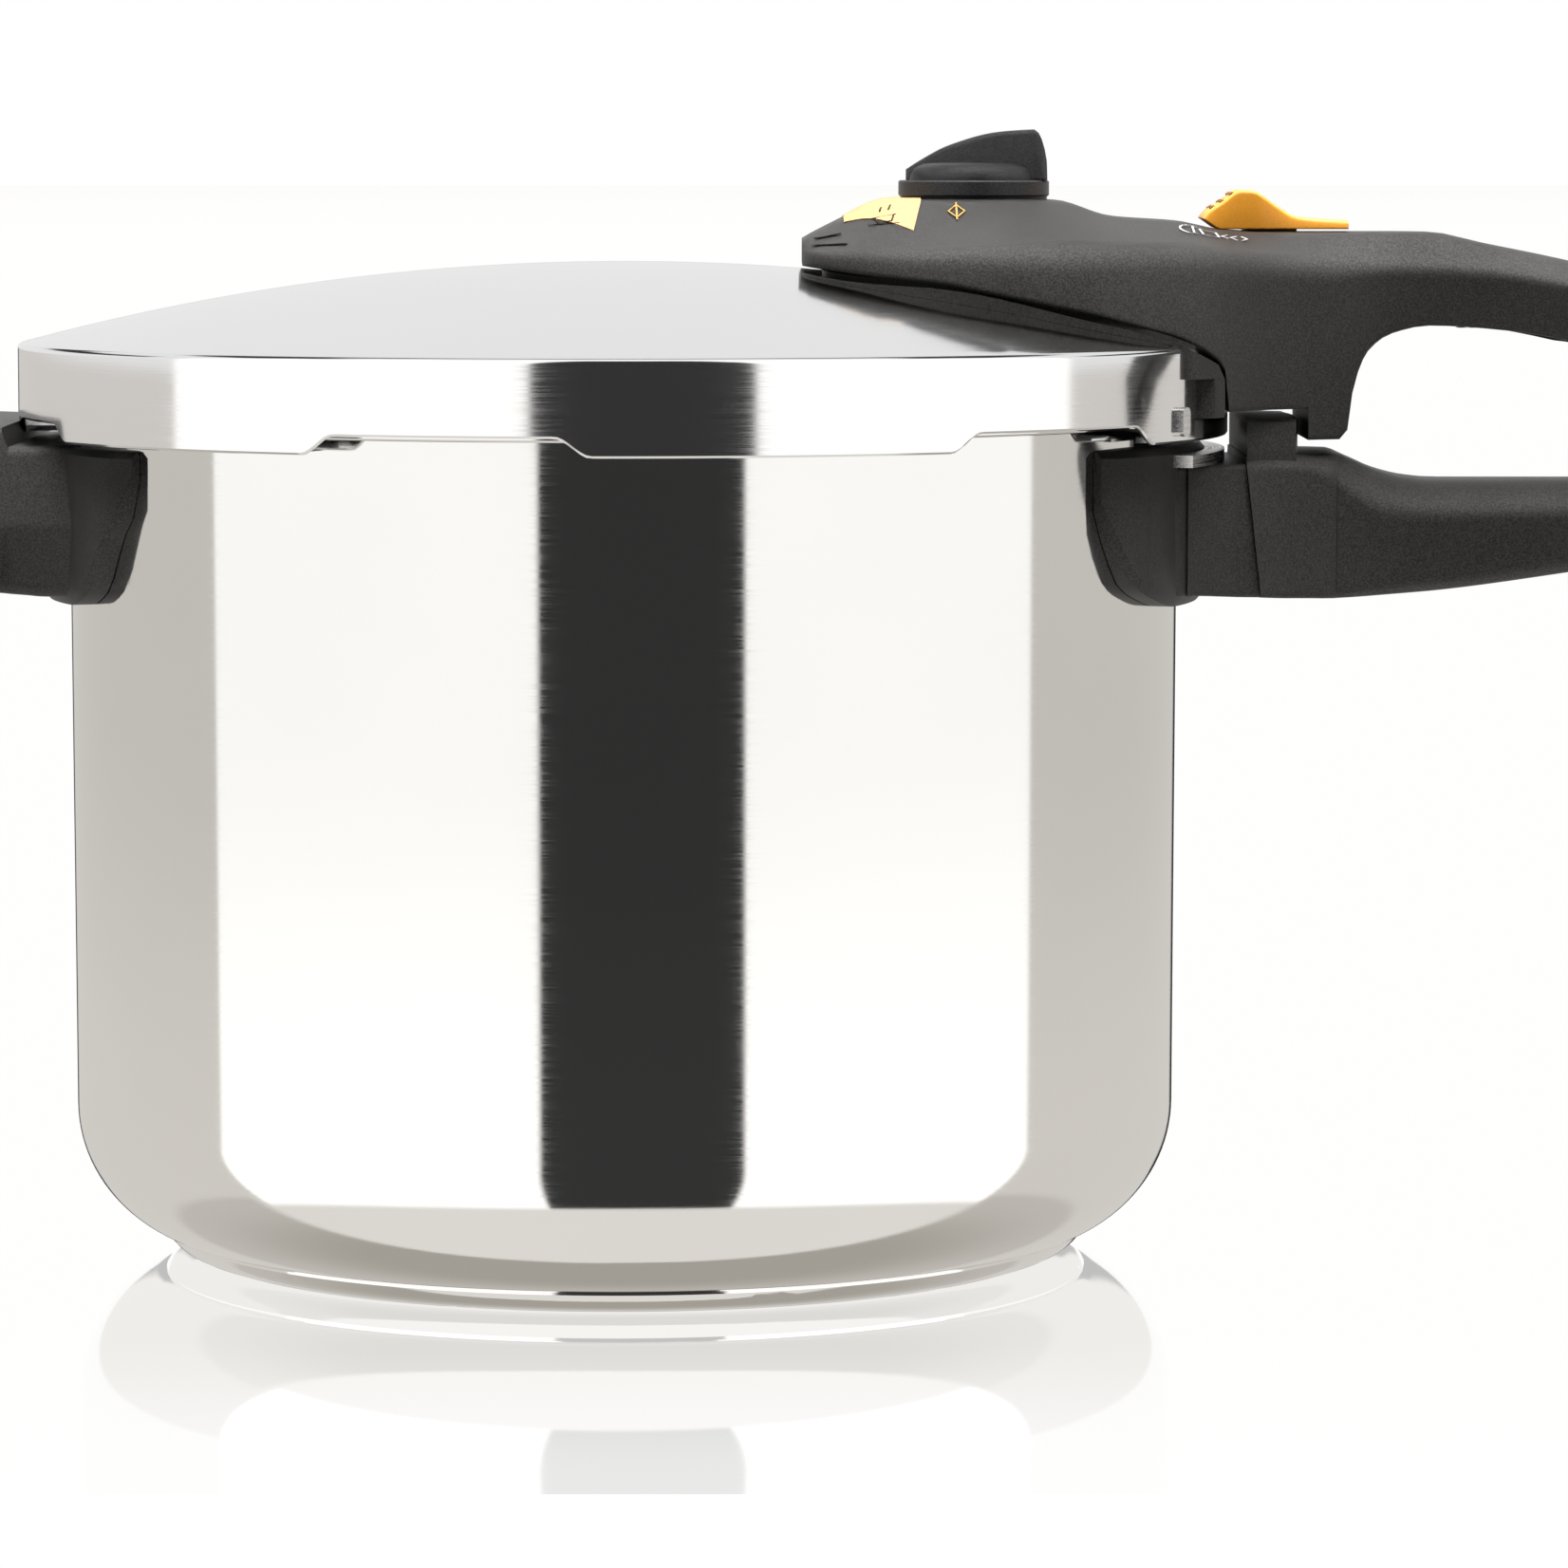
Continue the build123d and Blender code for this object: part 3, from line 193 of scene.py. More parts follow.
def steel(name, tint, roughness, line_gloss, fineness, relief, painted_shade_depth=0.0):
    """Stainless steel with lathe lines in its gloss and relief, greyer towards the top by a painted shade of
    the given depth.
    """
    material, n, shader, place = new_material(name)
    group = use_group(n, LINES, Place=place, Fineness=fineness)
    shader.inputs["Metallic"].default_value = 1.0
    smear = n.ease(n.noise(place, 18.0, 3.0), 0.35, 0.75)
    darker = tuple(0.985 * c for c in tint)
    colour = n.mix(smear, (*tint, 1), (*darker, 1))
    # Painted shade: the base colour darkens from 30 mm to 115 mm up, by up to the given depth.
    if painted_shade_depth:
        split = n.add("ShaderNodeSeparateXYZ")
        n.feed(split.inputs[0], place)
        painted_top_shade = n.ease(split.outputs[2], 0.03, 0.115, 0.0, painted_shade_depth)
        colour = n.mix(painted_top_shade, colour, (0.0, 0.0, 0.0, 1))
    n.feed(shader.inputs["Base Color"], colour)
    gloss = n.math("MULTIPLY", group.outputs["Lines"], line_gloss)
    n.feed(shader.inputs["Roughness"], n.math("ADD", gloss, roughness))
    bump(n, shader, group.outputs["Height"], relief, 0.00002)
    return material


MATERIALS = {
    # The pot's steel carries a painted shade, up to 13 % darker towards the top of the wall.
    "polished_steel": steel("polished_steel", (0.945, 0.94, 0.925), 0.035, 0.05, 5200.0, 0.10, 0.13),
    "satin_steel": steel("satin_steel", (0.915, 0.915, 0.915), 0.075, 0.05, 4200.0, 0.14),
    "bracket_steel": steel("bracket_steel", (0.86, 0.85, 0.84), 0.22, 0.12, 3000.0, 0.20),
    "screw_steel": steel("screw_steel", (0.78, 0.78, 0.77), 0.24, 0.10, 6000.0, 0.20),
    "valve_metal": steel("valve_metal", (0.80, 0.80, 0.79), 0.20, 0.15, 6000.0, 0.30),
    "core_aluminium": steel("core_aluminium", (0.82, 0.82, 0.83), 0.35, 0.15, 2500.0, 0.30),
    "black_moulding": plastic("black_moulding", (0.020, 0.0195, 0.019), (0.048, 0.046, 0.044), 0.42, 1.0, 0.12),
    "dark_moulding": plastic("dark_moulding", (0.018, 0.018, 0.019), (0.036, 0.036, 0.037), 0.38, 0.6, 0.2),
    "amber_moulding": plastic("amber_moulding", (0.56, 0.225, 0.016), (0.62, 0.26, 0.025), 0.36, 0.5),
    "amber_panel": plastic("amber_panel", (0.34, 0.19, 0.065), (0.38, 0.23, 0.09), 0.45, 0.4),
    "knob_moulding": plastic("knob_moulding", (0.010, 0.010, 0.010), (0.022, 0.022, 0.022), 0.34, 0.8, 0.25),
    # Darker copy of the slide's amber, used for its ribs: painted shade.
    "amber_painted_shade": plastic("amber_painted_shade", (0.16, 0.060, 0.006), (0.20, 0.08, 0.01), 0.5, 0.5),
    "mark_white": plastic("mark_white", (0.36, 0.36, 0.36), (0.42, 0.42, 0.42), 0.5, 0.3),
    "mark_amber": plastic("mark_amber", (0.30, 0.16, 0.02), (0.34, 0.19, 0.03), 0.5, 0.3),
    "mark_dark": plastic("mark_dark", (0.010, 0.009, 0.008), (0.016, 0.014, 0.012), 0.5, 0.3),
    "silicone": plastic("silicone", (0.05, 0.05, 0.05), (0.08, 0.08, 0.08), 0.55, 0.5),
}


def dress_frame():
    """Every CAD node takes the material of its slot."""
    slots = {part["node"]: part["material_slot"] for part in frame["record"]["subparts"]}
    for name, node in frame["nodes"].items():
        node.data.materials.clear()
        node.data.materials.append(MATERIALS[slots[name]])


# ---------------------------------------------------------------- modelling helpers


def finished(name, shape, material, body, node, soft):
    """Piece from a bmesh that rides on a body; edges flatter than soft degrees are shaded smooth."""
    bmesh.ops.remove_doubles(shape, verts=shape.verts, dist=1e-7)
    bmesh.ops.recalc_face_normals(shape, faces=shape.faces)
    for face in shape.faces:
        face.smooth = True
    for edge in shape.edges:
        shared = len(edge.link_faces) == 2
        edge.smooth = shared and edge.calc_face_angle() < math.radians(soft)
    mesh = bpy.data.meshes.new(name)
    shape.to_mesh(mesh)
    shape.free()
    mesh.materials.append(MATERIALS[material])
    piece = bpy.data.objects.new(name, mesh)
    bpy.context.scene.collection.objects.link(piece)
    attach(piece, body)
    if node:
        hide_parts(node)


def spun_skin(points, segments):
    """Closed profile of (radius, z) in millimetres turned once about Z."""
    shape = bmesh.new()
    verts = [shape.verts.new((r * MM, 0.0, z * MM)) for r, z in points]
    edges = [shape.edges.new(pair) for pair in zip(verts, verts[1:] + verts[:1])]
    bmesh.ops.spin(shape, geom=verts + edges, cent=(0, 0, 0), axis=(0, 0, 1), angle=math.tau,
                   steps=segments, use_merge=True)
    return shape


def spun_piece(name, points, segments, centre_x, material, body, node):
    """Small turned piece on an upright axis at centre_x."""
    shape = spun_skin(points, segments)
    bmesh.ops.translate(shape, verts=shape.verts, vec=(centre_x * MM, 0, 0))
    finished(name, shape, material, body, node, 30.0)


def arc_block(shape, r0, r1, z0, z1, start, arc, steps):
    """Part of a flat ring between two directions in degrees."""
    before = set(shape.verts)
    corners = [(r0, z0), (r1, z0), (r1, z1), (r0, z1)]
    verts = [shape.verts.new((r * MM, 0.0, z * MM)) for r, z in corners]
    face = shape.faces.new(verts)
    bmesh.ops.spin(shape, geom=[face, *verts, *face.edges], cent=(0, 0, 0), axis=(0, 0, 1),
                   angle=math.radians(arc), steps=steps)
    added = [vert for vert in shape.verts if vert not in before]
    turn = Matrix.Rotation(math.radians(start), 3, "Z")
    bmesh.ops.rotate(shape, verts=added, cent=(0, 0, 0), matrix=turn)


def lofted(rows, keel=False):
    """Skin through rows of points, each row a closed loop; both ends closed.

    With keel, the first end is split down its middle, so that it can follow a round wall.
    """
    shape = bmesh.new()
    ring = bmesh.ops.create_circle(shape, segments=len(rows[0]), radius=1.0)["verts"]
    for vert, place in zip(ring, rows[0]):
        vert.co = place
    loop = [shape.edges.get((a, b)) for a, b in zip(ring, ring[1:] + ring[:1])]
    first = list(loop)
    middle = [ring[0], ring[len(ring) // 2]]
    for row in rows[1:]:
        added = bmesh.ops.extrude_edge_only(shape, edges=loop)["geom"]
        fresh = {item for item in added if isinstance(item, bmesh.types.BMVert)}
        ring = [next(e.other_vert(v) for e in v.link_edges if e.other_vert(v) in fresh) for v in ring]
        for vert, place in zip(ring, row):
            vert.co = place
        loop = [shape.edges.get((a, b)) for a, b in zip(ring, ring[1:] + ring[:1])]
    bmesh.ops.contextual_create(shape, geom=first)
    if keel:
        bmesh.ops.connect_verts(shape, verts=middle)
    bmesh.ops.contextual_create(shape, geom=loop)
    return shape


def eased(table, x):
    """Smooth value between the rows of a table, without overshoot."""
    if x <= table[0][0]:
        return table[0][1:]
    if x >= table[-1][0]:
        return table[-1][1:]
    k = next(i for i in range(len(table) - 1) if table[i + 1][0] >= x)
    (x0, *a), (x1, *b) = table[k], table[k + 1]
    before = table[k - 1] if k > 0 else None
    after = table[k + 2] if k + 2 < len(table) else None
    t = (x - x0) / (x1 - x0)
    values = []
    for i, (va, vb) in enumerate(zip(a, b)):
        slope = (vb - va) / (x1 - x0)
        s0 = (va - before[i + 1]) / (x0 - before[0]) if before else slope
        s1 = (after[i + 1] - vb) / (after[0] - x1) if after else slope
        m0 = 0.0 if s0 * slope <= 0 else 2 * s0 * slope / (s0 + slope)
        m1 = 0.0 if s1 * slope <= 0 else 2 * s1 * slope / (s1 + slope)
        h = x1 - x0
        values.append((2 * t ** 3 - 3 * t ** 2 + 1) * va + (t ** 3 - 2 * t ** 2 + t) * h * m0
                      + (3 * t ** 2 - 2 * t ** 3) * vb + (t ** 3 - t ** 2) * h * m1)
    return values


def straight(points, x):
    """Height on a line of (x, z) points."""
    for (x0, z0), (x1, z1) in zip(points, points[1:]):
        if x0 <= x <= x1:
            return z0 + (z1 - z0) * (x - x0) / (x1 - x0)
    return points[0][1] if x < points[0][0] else points[-1][1]


def rounded(corners, radii, steps):
    """Half outline in (y, z): each corner but the first and last replaced by a curve."""
    line = [Vector(corner) for corner in corners]
    points = [line[0]]
    for k in range(1, len(line) - 1):
        a, c, b = line[k - 1], line[k], line[k + 1]
        reach = min(radii[k - 1], (a - c).length * 0.48, (b - c).length * 0.48)
        start = c + (a - c).normalized() * reach
        end = c + (b - c).normalized() * reach
        for i in range(steps + 1):
            t = i / steps
            points.append(start * (1 - t) ** 2 + c * 2 * t * (1 - t) + end * t ** 2)
    points.append(line[-1])
    return points


def both_sides(x, half):
    """Closed loop at x from a half outline that runs from the bottom's middle to the top's middle."""
    right = [Vector((x * MM, y * MM, z * MM)) for y, z in half]
    left = [Vector((x * MM, -y * MM, z * MM)) for y, z in reversed(half[1:-1])]
    return right + left


def add_block(shape, x0, x1, half_y, z0, z1):
    """Adds a box, in millimetres and even about the middle plane, to a bmesh."""
    place = Matrix.Translation(((x0 + x1) / 2 * MM, 0.0, (z0 + z1) / 2 * MM))
    size = Matrix.Diagonal(((x1 - x0) * MM, 2 * half_y * MM, (z1 - z0) * MM, 1.0))
    bmesh.ops.create_cube(shape, size=1.0, matrix=place @ size)


# ---------------------------------------------------------------- pot and lid

POT_R = 111.0            # outside of the wall under the rim
WALL_T = 1.0
WALL_FLARE = ((0.4, 60.0), (0.25, 100.0), (0.1, 140.0))   # how far inside POT_R the wall is, and where
CORNER_CENTRE = (83.5, 29.5)
CORNER_R = 27.0
BASE_R = 60.0            # flat part of the pan's floor
PAN_Z = 4.5              # underside of the pan, on the heat spreader
RIM_Z = 168.0
AXIS_R = 0.05            # radius of a skin's ends on its own axis
LID_R = 121.0
LID_T = 1.2
EDGE_R = 1.2
CROWN_TOP_Z = 198.0
CROWN_R = 462.0          # radius of the crown's sphere
SKIRT_LOW_Z = 163.8      # skirt's foot at the lugs
SKIRT_RISE = 3.6         # how much higher it is between them
SKIRT_HIGH_HALF = 28.5   # along the rim, from the middle between two lugs to the S-curve's end
SKIRT_CURVE = 7.0        # length of the S-curve
LUG_ARC = 27.0
LUG_DIRECTIONS = [-75.0 + 60.0 * i for i in range(6)]


def arc_of(centre_r, centre_z, radius, low, high, steps):
    """Points of a circle from one angle to another, in degrees from +R."""
    turns = [math.radians(low + (high - low) * i / steps) for i in range(steps + 1)]
    return [(centre_r + radius * math.cos(a), centre_z + radius * math.sin(a)) for a in turns]


def build_pot():
    """Drawn pot: floor, corner, slightly flaring wall, rim flange and six lugs."""
    wall = [(POT_R - inset, z) for inset, z in WALL_FLARE]
    outer = [(AXIS_R, PAN_Z), (BASE_R, PAN_Z)] + arc_of(*CORNER_CENTRE, CORNER_R, -67.8, 0.0, 20) + wall
    rim = [(0.0, -1.7), (0.2, -1.5), (1.4, -1.5), (1.6, -1.2), (1.6, -0.3), (1.3, 0.0), (-0.7, 0.0),
           (-1.0, -0.3)]
    outer += [(POT_R + out, RIM_Z + up) for out, up in rim]
    inner = [(r - WALL_T, z) for r, z in reversed(wall)]
    inner += arc_of(*CORNER_CENTRE, CORNER_R - WALL_T, 0.0, -67.3, 20)
    inner += [(BASE_R, PAN_Z + WALL_T), (AXIS_R, PAN_Z + WALL_T)]
    shape = spun_skin(outer + inner, 360)
    for direction in LUG_DIRECTIONS:
        start = direction - LUG_ARC / 2
        arc_block(shape, POT_R + 1.3, POT_R + 7.5, RIM_Z - 1.4, RIM_Z - 0.1, start, LUG_ARC, 18)
    finished("pot_shell_polished", shape, "polished_steel", "pot", "pot_shell", 30.0)


def skirt_foot(angle):
    """Height of the skirt's edge at a direction in degrees: low at the lugs, S-curves between."""
    step = 360.0 / len(LUG_DIRECTIONS)
    off = math.radians(abs((angle - LUG_DIRECTIONS[0]) % step - step / 2)) * LID_R
    t = min(max((SKIRT_HIGH_HALF - off) / SKIRT_CURVE, 0.0), 1.0)
    return SKIRT_LOW_Z + SKIRT_RISE * t * t * (3 - 2 * t)


def crown_z(r, inset=0.0):
    """Height of the crown's outside at a radius, or of a skin that far inside it."""
    return CROWN_TOP_Z - CROWN_R + math.sqrt((CROWN_R - inset) ** 2 - r * r)


def build_lid():
    """Spun crown, tight edge and skirt whose foot is cut in waves, with turned-in hooks."""
    crown = [(AXIS_R, CROWN_TOP_Z)] + [(r, crown_z(r)) for r in range(6, 115, 6)]
    crown.append((LID_R - 3.5, crown_z(LID_R - 3.5)))
    edge_r = LID_R - EDGE_R
    shoulder = crown_z(edge_r)
    edge = arc_of(edge_r, shoulder - EDGE_R, EDGE_R, 76.0, 0.0, 8)
    inner_r = LID_R - LID_T
    skirt = [(LID_R, 176.0), (LID_R, 171.0), (LID_R, RIM_Z)]
    foot = [(LID_R, SKIRT_LOW_Z + 0.5), (LID_R - 0.3, SKIRT_LOW_Z + 0.1), (LID_R - 0.6, SKIRT_LOW_Z)]
    foot += [(LID_R - 0.95, SKIRT_LOW_Z + 0.1), (inner_r, SKIRT_LOW_Z + 0.5)]
    inside = [(inner_r, RIM_Z), (inner_r, 171.0), (inner_r, 176.0), (inner_r, shoulder - 3.6)]
    inside += [(LID_R - 2.0, shoulder - 2.0), (LID_R - 3.5, shoulder - 1.3)]
    inside += [(r, crown_z(r, LID_T)) for r in range(112, 0, -8)] + [(AXIS_R, CROWN_TOP_Z - LID_T)]
    shape = spun_skin(crown + edge + skirt + foot + inside, 720)
    for vert in shape.verts:
        if vert.co.z < (SKIRT_LOW_Z + 0.7) * MM:
            lift = skirt_foot(math.degrees(math.atan2(vert.co.y, vert.co.x))) - SKIRT_LOW_Z
            vert.co.z += lift * MM
    for direction in LUG_DIRECTIONS:
        start = direction - LUG_ARC / 2
        arc_block(shape, 113.8, 120.0, SKIRT_LOW_Z + 0.1, SKIRT_LOW_Z + 1.2, start, LUG_ARC, 24)
    finished("lid_shell_spun", shape, "satin_steel", "lid", "lid_shell", 28.0)


# ---------------------------------------------------------------- lid handle

# x, half width low on the side, its height, half width at the shoulder, its height,
# half width of the deck, its height
HANDLE_ROWS = (
    (35.7, 27.0, 186.0, 26.5, 200.0, 22.0, 202.4),
    (37.4, 33.5, 186.0, 32.4, 200.0, 22.0, 203.4),
    (42.5, 40.0, 186.0, 38.4, 200.0, 21.5, 206.0),
    (50.9, 46.5, 186.0, 44.2, 200.0, 20.5, 209.9),
    (54.0, 48.0, 185.5, 45.3, 200.0, 20.5, 210.4),
    (64.0, 51.0, 184.0, 48.0, 200.4, 20.5, 210.4),
    (78.0, 53.5, 182.0, 50.0, 200.8, 20.5, 210.4),
    (86.1, 54.5, 180.0, 50.0, 201.2, 19.0, 210.2),
    (97.5, 54.0, 172.0, 47.5, 201.6, 16.5, 207.0),
    (110.8, 49.5, 164.0, 42.0, 201.4, 15.0, 206.0),
    (119.0, 39.5, 162.0, 36.5, 200.0, 14.0, 204.4),
    (129.0, 26.0, 162.0, 28.0, 198.5, 13.0, 203.9),
    (142.5, 17.5, 162.0, 21.0, 196.8, 12.0, 203.9),
    (153.0, 13.6, 182.0, 18.0, 196.5, 11.5, 203.9),
    (161.0, 12.6, 184.0, 16.8, 196.3, 10.6, 203.8),
    (172.0, 12.4, 184.0, 16.0, 195.8, 9.6, 201.6),
    (189.0, 12.4, 182.0, 15.4, 193.4, 9.0, 198.1),
    (226.0, 12.5, 170.4, 15.4, 184.0, 9.0, 188.8),
    (256.0, 12.0, 160.4, 15.0, 175.0, 8.5, 179.4),
    (270.0, 8.0, 158.6, 10.5, 168.8, 6.0, 172.4),
    (272.0, 6.0, 161.0, 8.0, 168.4, 4.5, 171.0))
# Underside of the head, where the lower moulding meets it, and of the grip behind the leg: x, height
PARTING = ((35.0, 196.4), (46.0, 194.9), (64.0, 192.8), (92.0, 187.0), (109.0, 182.4), (116.6, 178.6),
           (118.0, 175.6))
PARTING_GAP = 1.2
RECESS_Z = 169.2         # roof over the catch post
LEG_Z = 163.0            # foot of the leg
ARCH = ((144.0, 164.6), (144.9, 172.0), (148.0, 180.4), (153.0, 183.9), (160.5, 185.4), (176.0, 184.4),
        (226.0, 171.2), (256.0, 160.8), (270.0, 158.9), (272.0, 160.8))


def handle_row(x, foot):
    """Cross-section of the upper moulding at x whose underside is at the height foot."""
    low_half, low_z, side_half, side_z, top_half, top_z = eased(HANDLE_ROWS, x)
    share = (foot - low_z) / (side_z - low_z)
    foot_half = low_half + (side_half - low_half) * share
    head = min(max((x - 35.0) / 20.0, 0.0), 1.0) * min(max((150.0 - x) / 30.0, 0.0), 1.0)
    shoulder = 2.2 + 3.6 * head
    corners = [(0.0, foot), (foot_half, foot), (side_half, side_z), (top_half, top_z), (0.0, top_z + 0.15)]
    half = rounded(corners, [1.2, shoulder, 2.4], 6)
    return both_sides(x, half)


def build_handle_body():
    """Upper moulding: head, leg and grip in one skin."""
    head = [35.7, 36.2, 37.4, 39.5] + [42.0 + 2.0 * i for i in range(37)] + [117.0]
    feet = [(x, straight(PARTING, x) + PARTING_GAP) for x in head] + [(118.2, 177.0)]
    feet += [(x, RECESS_Z) for x in (119.0, 119.5, 122.0, 125.0, 128.0, 131.0, 134.0, 135.8)]
    feet += [(x, LEG_Z) for x in (135.9, 138.0, 140.5, 142.4)]
    feet += [(144.0, 164.8), (144.4, 168.0), (144.9, 172.0), (146.0, 176.2)]
    grip = [147.0, 148.0, 149.5, 151.0, 153.0, 155.0, 157.5, 160.5, *range(164, 270, 4), 270.0, 271.2, 272.0]
    feet += [(x, eased(ARCH, x)[0]) for x in grip]
    rows = [handle_row(x, foot) for x, foot in feet]
    finished("lid_handle_upper", lofted(rows), "black_moulding", "lid", "lid_handle_body", 40.0)


# ---------------------------------------------------------------- lower long handle

# x, half width at the foot, its height, half width at the ridge, its height, half width of the deck,
# its height; the same columns hold for the grip and the helper handle
NECK_ROWS = (
    (104.6, 47.0, 133.2, 47.4, 158.4, 44.0, 158.6),
    (108.0, 42.6, 133.0, 43.0, 158.4, 40.0, 158.6),
    (112.5, 37.0, 133.0, 37.5, 158.4, 34.5, 158.6),
    (118.0, 31.8, 132.6, 32.5, 158.4, 29.8, 158.6),
    (123.0, 28.0, 132.2, 28.7, 158.4, 26.0, 158.6))
GRIP_ROWS = (
    (123.2, 28.0, 132.2, 28.6, 158.0, 26.0, 160.2),
    (130.0, 23.8, 131.8, 24.4, 158.0, 21.5, 160.2),
    (136.0, 20.8, 131.6, 21.4, 157.6, 17.8, 160.2),
    (141.6, 18.2, 131.4, 19.2, 155.4, 15.0, 160.2),
    (145.4, 17.2, 131.5, 18.6, 152.6, 13.0, 158.8),
    (151.0, 16.0, 131.8, 17.8, 149.9, 11.5, 156.4),
    (157.0, 15.0, 132.2, 17.0, 149.2, 10.4, 155.0),
    (163.0, 14.4, 132.7, 16.7, 149.0, 10.0, 154.5),
    (190.0, 13.0, 136.3, 15.6, 149.0, 9.5, 154.5),
    (226.0, 12.5, 142.0, 15.4, 150.4, 9.5, 155.6),
    (256.0, 11.0, 147.4, 14.6, 153.0, 8.5, 157.6),
    (264.0, 9.0, 149.4, 12.0, 153.4, 7.0, 157.2),
    (267.8, 6.4, 151.2, 8.8, 153.6, 5.2, 156.4))


SEAT_R = 113.3           # inner face of both handles, against the shields
COLLAR_X0 = 123.1        # raised collar round the neck
COLLAR_X1 = 141.7
COLLAR_OUT = 1.035
COLLAR_SLANT = 0.115     # how far its near edge leans back for each millimetre down
COLLAR_TOP_Z = 158.5
POST_TOP_Z = 167.2
POST_EDGE = 0.6          # chamfer round the post's top


def clear_of_wall(rows, radius):
    """Pushes a skin's points outside the pot's wall, sideways round it."""
    for row in rows:
        for place in row:
            reach = math.hypot(place.x, place.y)
            if reach < radius * MM:
                place.x = math.copysign(math.sqrt(max((radius * MM) ** 2 - place.y ** 2, 0.0)), place.x)
    return rows


def grip_row(table, x, radii):
    """Cross-section of a lower handle at x, with its foot, ridge and deck edges rounded."""
    low_half, low_z, side_half, side_z, top_half, top_z = eased(table, x)
    corners = [(0.0, low_z), (low_half, low_z), (side_half, side_z), (top_half, top_z), (0.0, top_z + 0.1)]
    return both_sides(x, rounded(corners, radii, 5))


def build_lower_grip():
    """Lower grip: neck, raised collar with a slanted edge, catch post and grip."""
    neck_x = [104.7, 105.4, 107.0, 109.0, 110.4, 110.5, 111.0, 111.1] + [112.5 + 1.5 * i for i in range(8)]
    rows = []
    for x in neck_x:
        row = grip_row(NECK_ROWS, x, [1.4, 1.2, 1.2])
        if 110.45 < x < 111.05:
            for place in row:
                place.y *= 0.985
        rows.append(row)
    grip_x = [123.2, 123.3, 125.0, 128.0, 131.0, 134.0, 136.5, 139.0, 141.6, 142.0]
    grip_x += [143.0 + 1.6 * i for i in range(12)]
    grip_x += [164.0 + 4.0 * i for i in range(24)] + [260.0, 264.0, 266.4, 267.8]
    for x in grip_x:
        softer = min(max((x - 139.0) / 14.0, 0.0), 1.0)
        radii = [1.4 + 1.8 * softer, 1.2 + 1.6 * softer, 1.0 + 3.0 * softer]
        rows.append(grip_row(GRIP_ROWS, x, radii))
    for row in rows[len(neck_x) - 1:]:
        for place in row:
            lean = min(max((0.1334 - place.x) / 0.01, 0.0), 1.0)
            if COLLAR_X0 * MM < place.x < COLLAR_X1 * MM:
                place.y *= COLLAR_OUT
            place.x += (COLLAR_TOP_Z * MM - place.z) * COLLAR_SLANT * lean
    shape = lofted(clear_of_wall(rows, SEAT_R), keel=True)
    add_catch_post(shape)
    finished("pot_handle_lower", shape, "black_moulding", "pot", "pot_handle_grip", 38.0)


def add_catch_post(shape):
    """Post that the lock's bolt drops behind, as wide as the neck."""
    post_rows = []
    for z in (157.0, 160.2, POST_TOP_Z - POST_EDGE, POST_TOP_Z - 0.25, POST_TOP_Z):
        inset = max(z - (POST_TOP_Z - POST_EDGE), 0.0)
        front = 123.4 + inset
        half = [(front, 0.0), (front, 27.9 - inset), (127.0, 25.4 - inset), (131.0, 23.1 - inset),
                (133.4, 21.9 - inset), (134.2 - inset, 14.0), (134.8 - inset, 7.0), (135.0 - inset, 0.0)]
        left = [(x, -y) for x, y in reversed(half[1:-1])]
        post_rows.append([Vector((x * MM, y * MM, z * MM)) for x, y in half + left])
    post = lofted(post_rows)
    joined = bpy.data.meshes.new("catch_post")
    post.to_mesh(joined)
    post.free()
    shape.from_mesh(joined)


# Foot of each heat shield: degrees in from its flank, height
SHIELD_FOOT = ((0.0, 151.0), (0.8, 147.6), (2.0, 143.4), (5.0, 136.3), (8.7, 133.4), (15.0, 131.2),
               (34.5, 131.0))
HELPER_FOOT = ((0.0, 157.0), (1.7, 149.0), (3.6, 145.6), (5.6, 139.4), (7.5, 135.0), (12.6, 131.8),
               (34.5, 131.5))
SHIELD_HALF_ARC = 34.5
SHIELD_TOP_Z = 162.6


def build_yoke(name, node, facing, outline):
    """Heat shield against the wall: a curved plate with rolled flanks, wider at the top."""
    rows = []
    steps = 44
    for i in range(steps + 1):
        turn = -1.0 + 2.0 * i / steps
        angle = math.radians(facing + SHIELD_HALF_ARC * turn)
        flank = min(1.0, (1.0 - abs(turn)) / 0.34)
        foot = eased(outline, SHIELD_HALF_ARC * (1.0 - abs(turn)))[0]
        thick = 1.6 + 3.6 * math.sqrt(max(flank * (2 - flank), 0.0))
        r0 = POT_R + 0.05
        r1 = POT_R + 0.2 + thick
        top = SHIELD_TOP_Z
        loop = [(r0, foot), (r1 - 1.2, foot), (r1, foot + 1.6), (r1, top - 1.4), (r1 - 1.0, top - 0.3),
                (r1 - 2.0, top), (r0, top)]
        across = Vector((math.cos(angle), math.sin(angle), 0.0))
        rows.append([(across * r + Vector((0.0, 0.0, z))) * MM for r, z in loop])
    finished(name, lofted(rows), "black_moulding", "pot", node, 38.0)


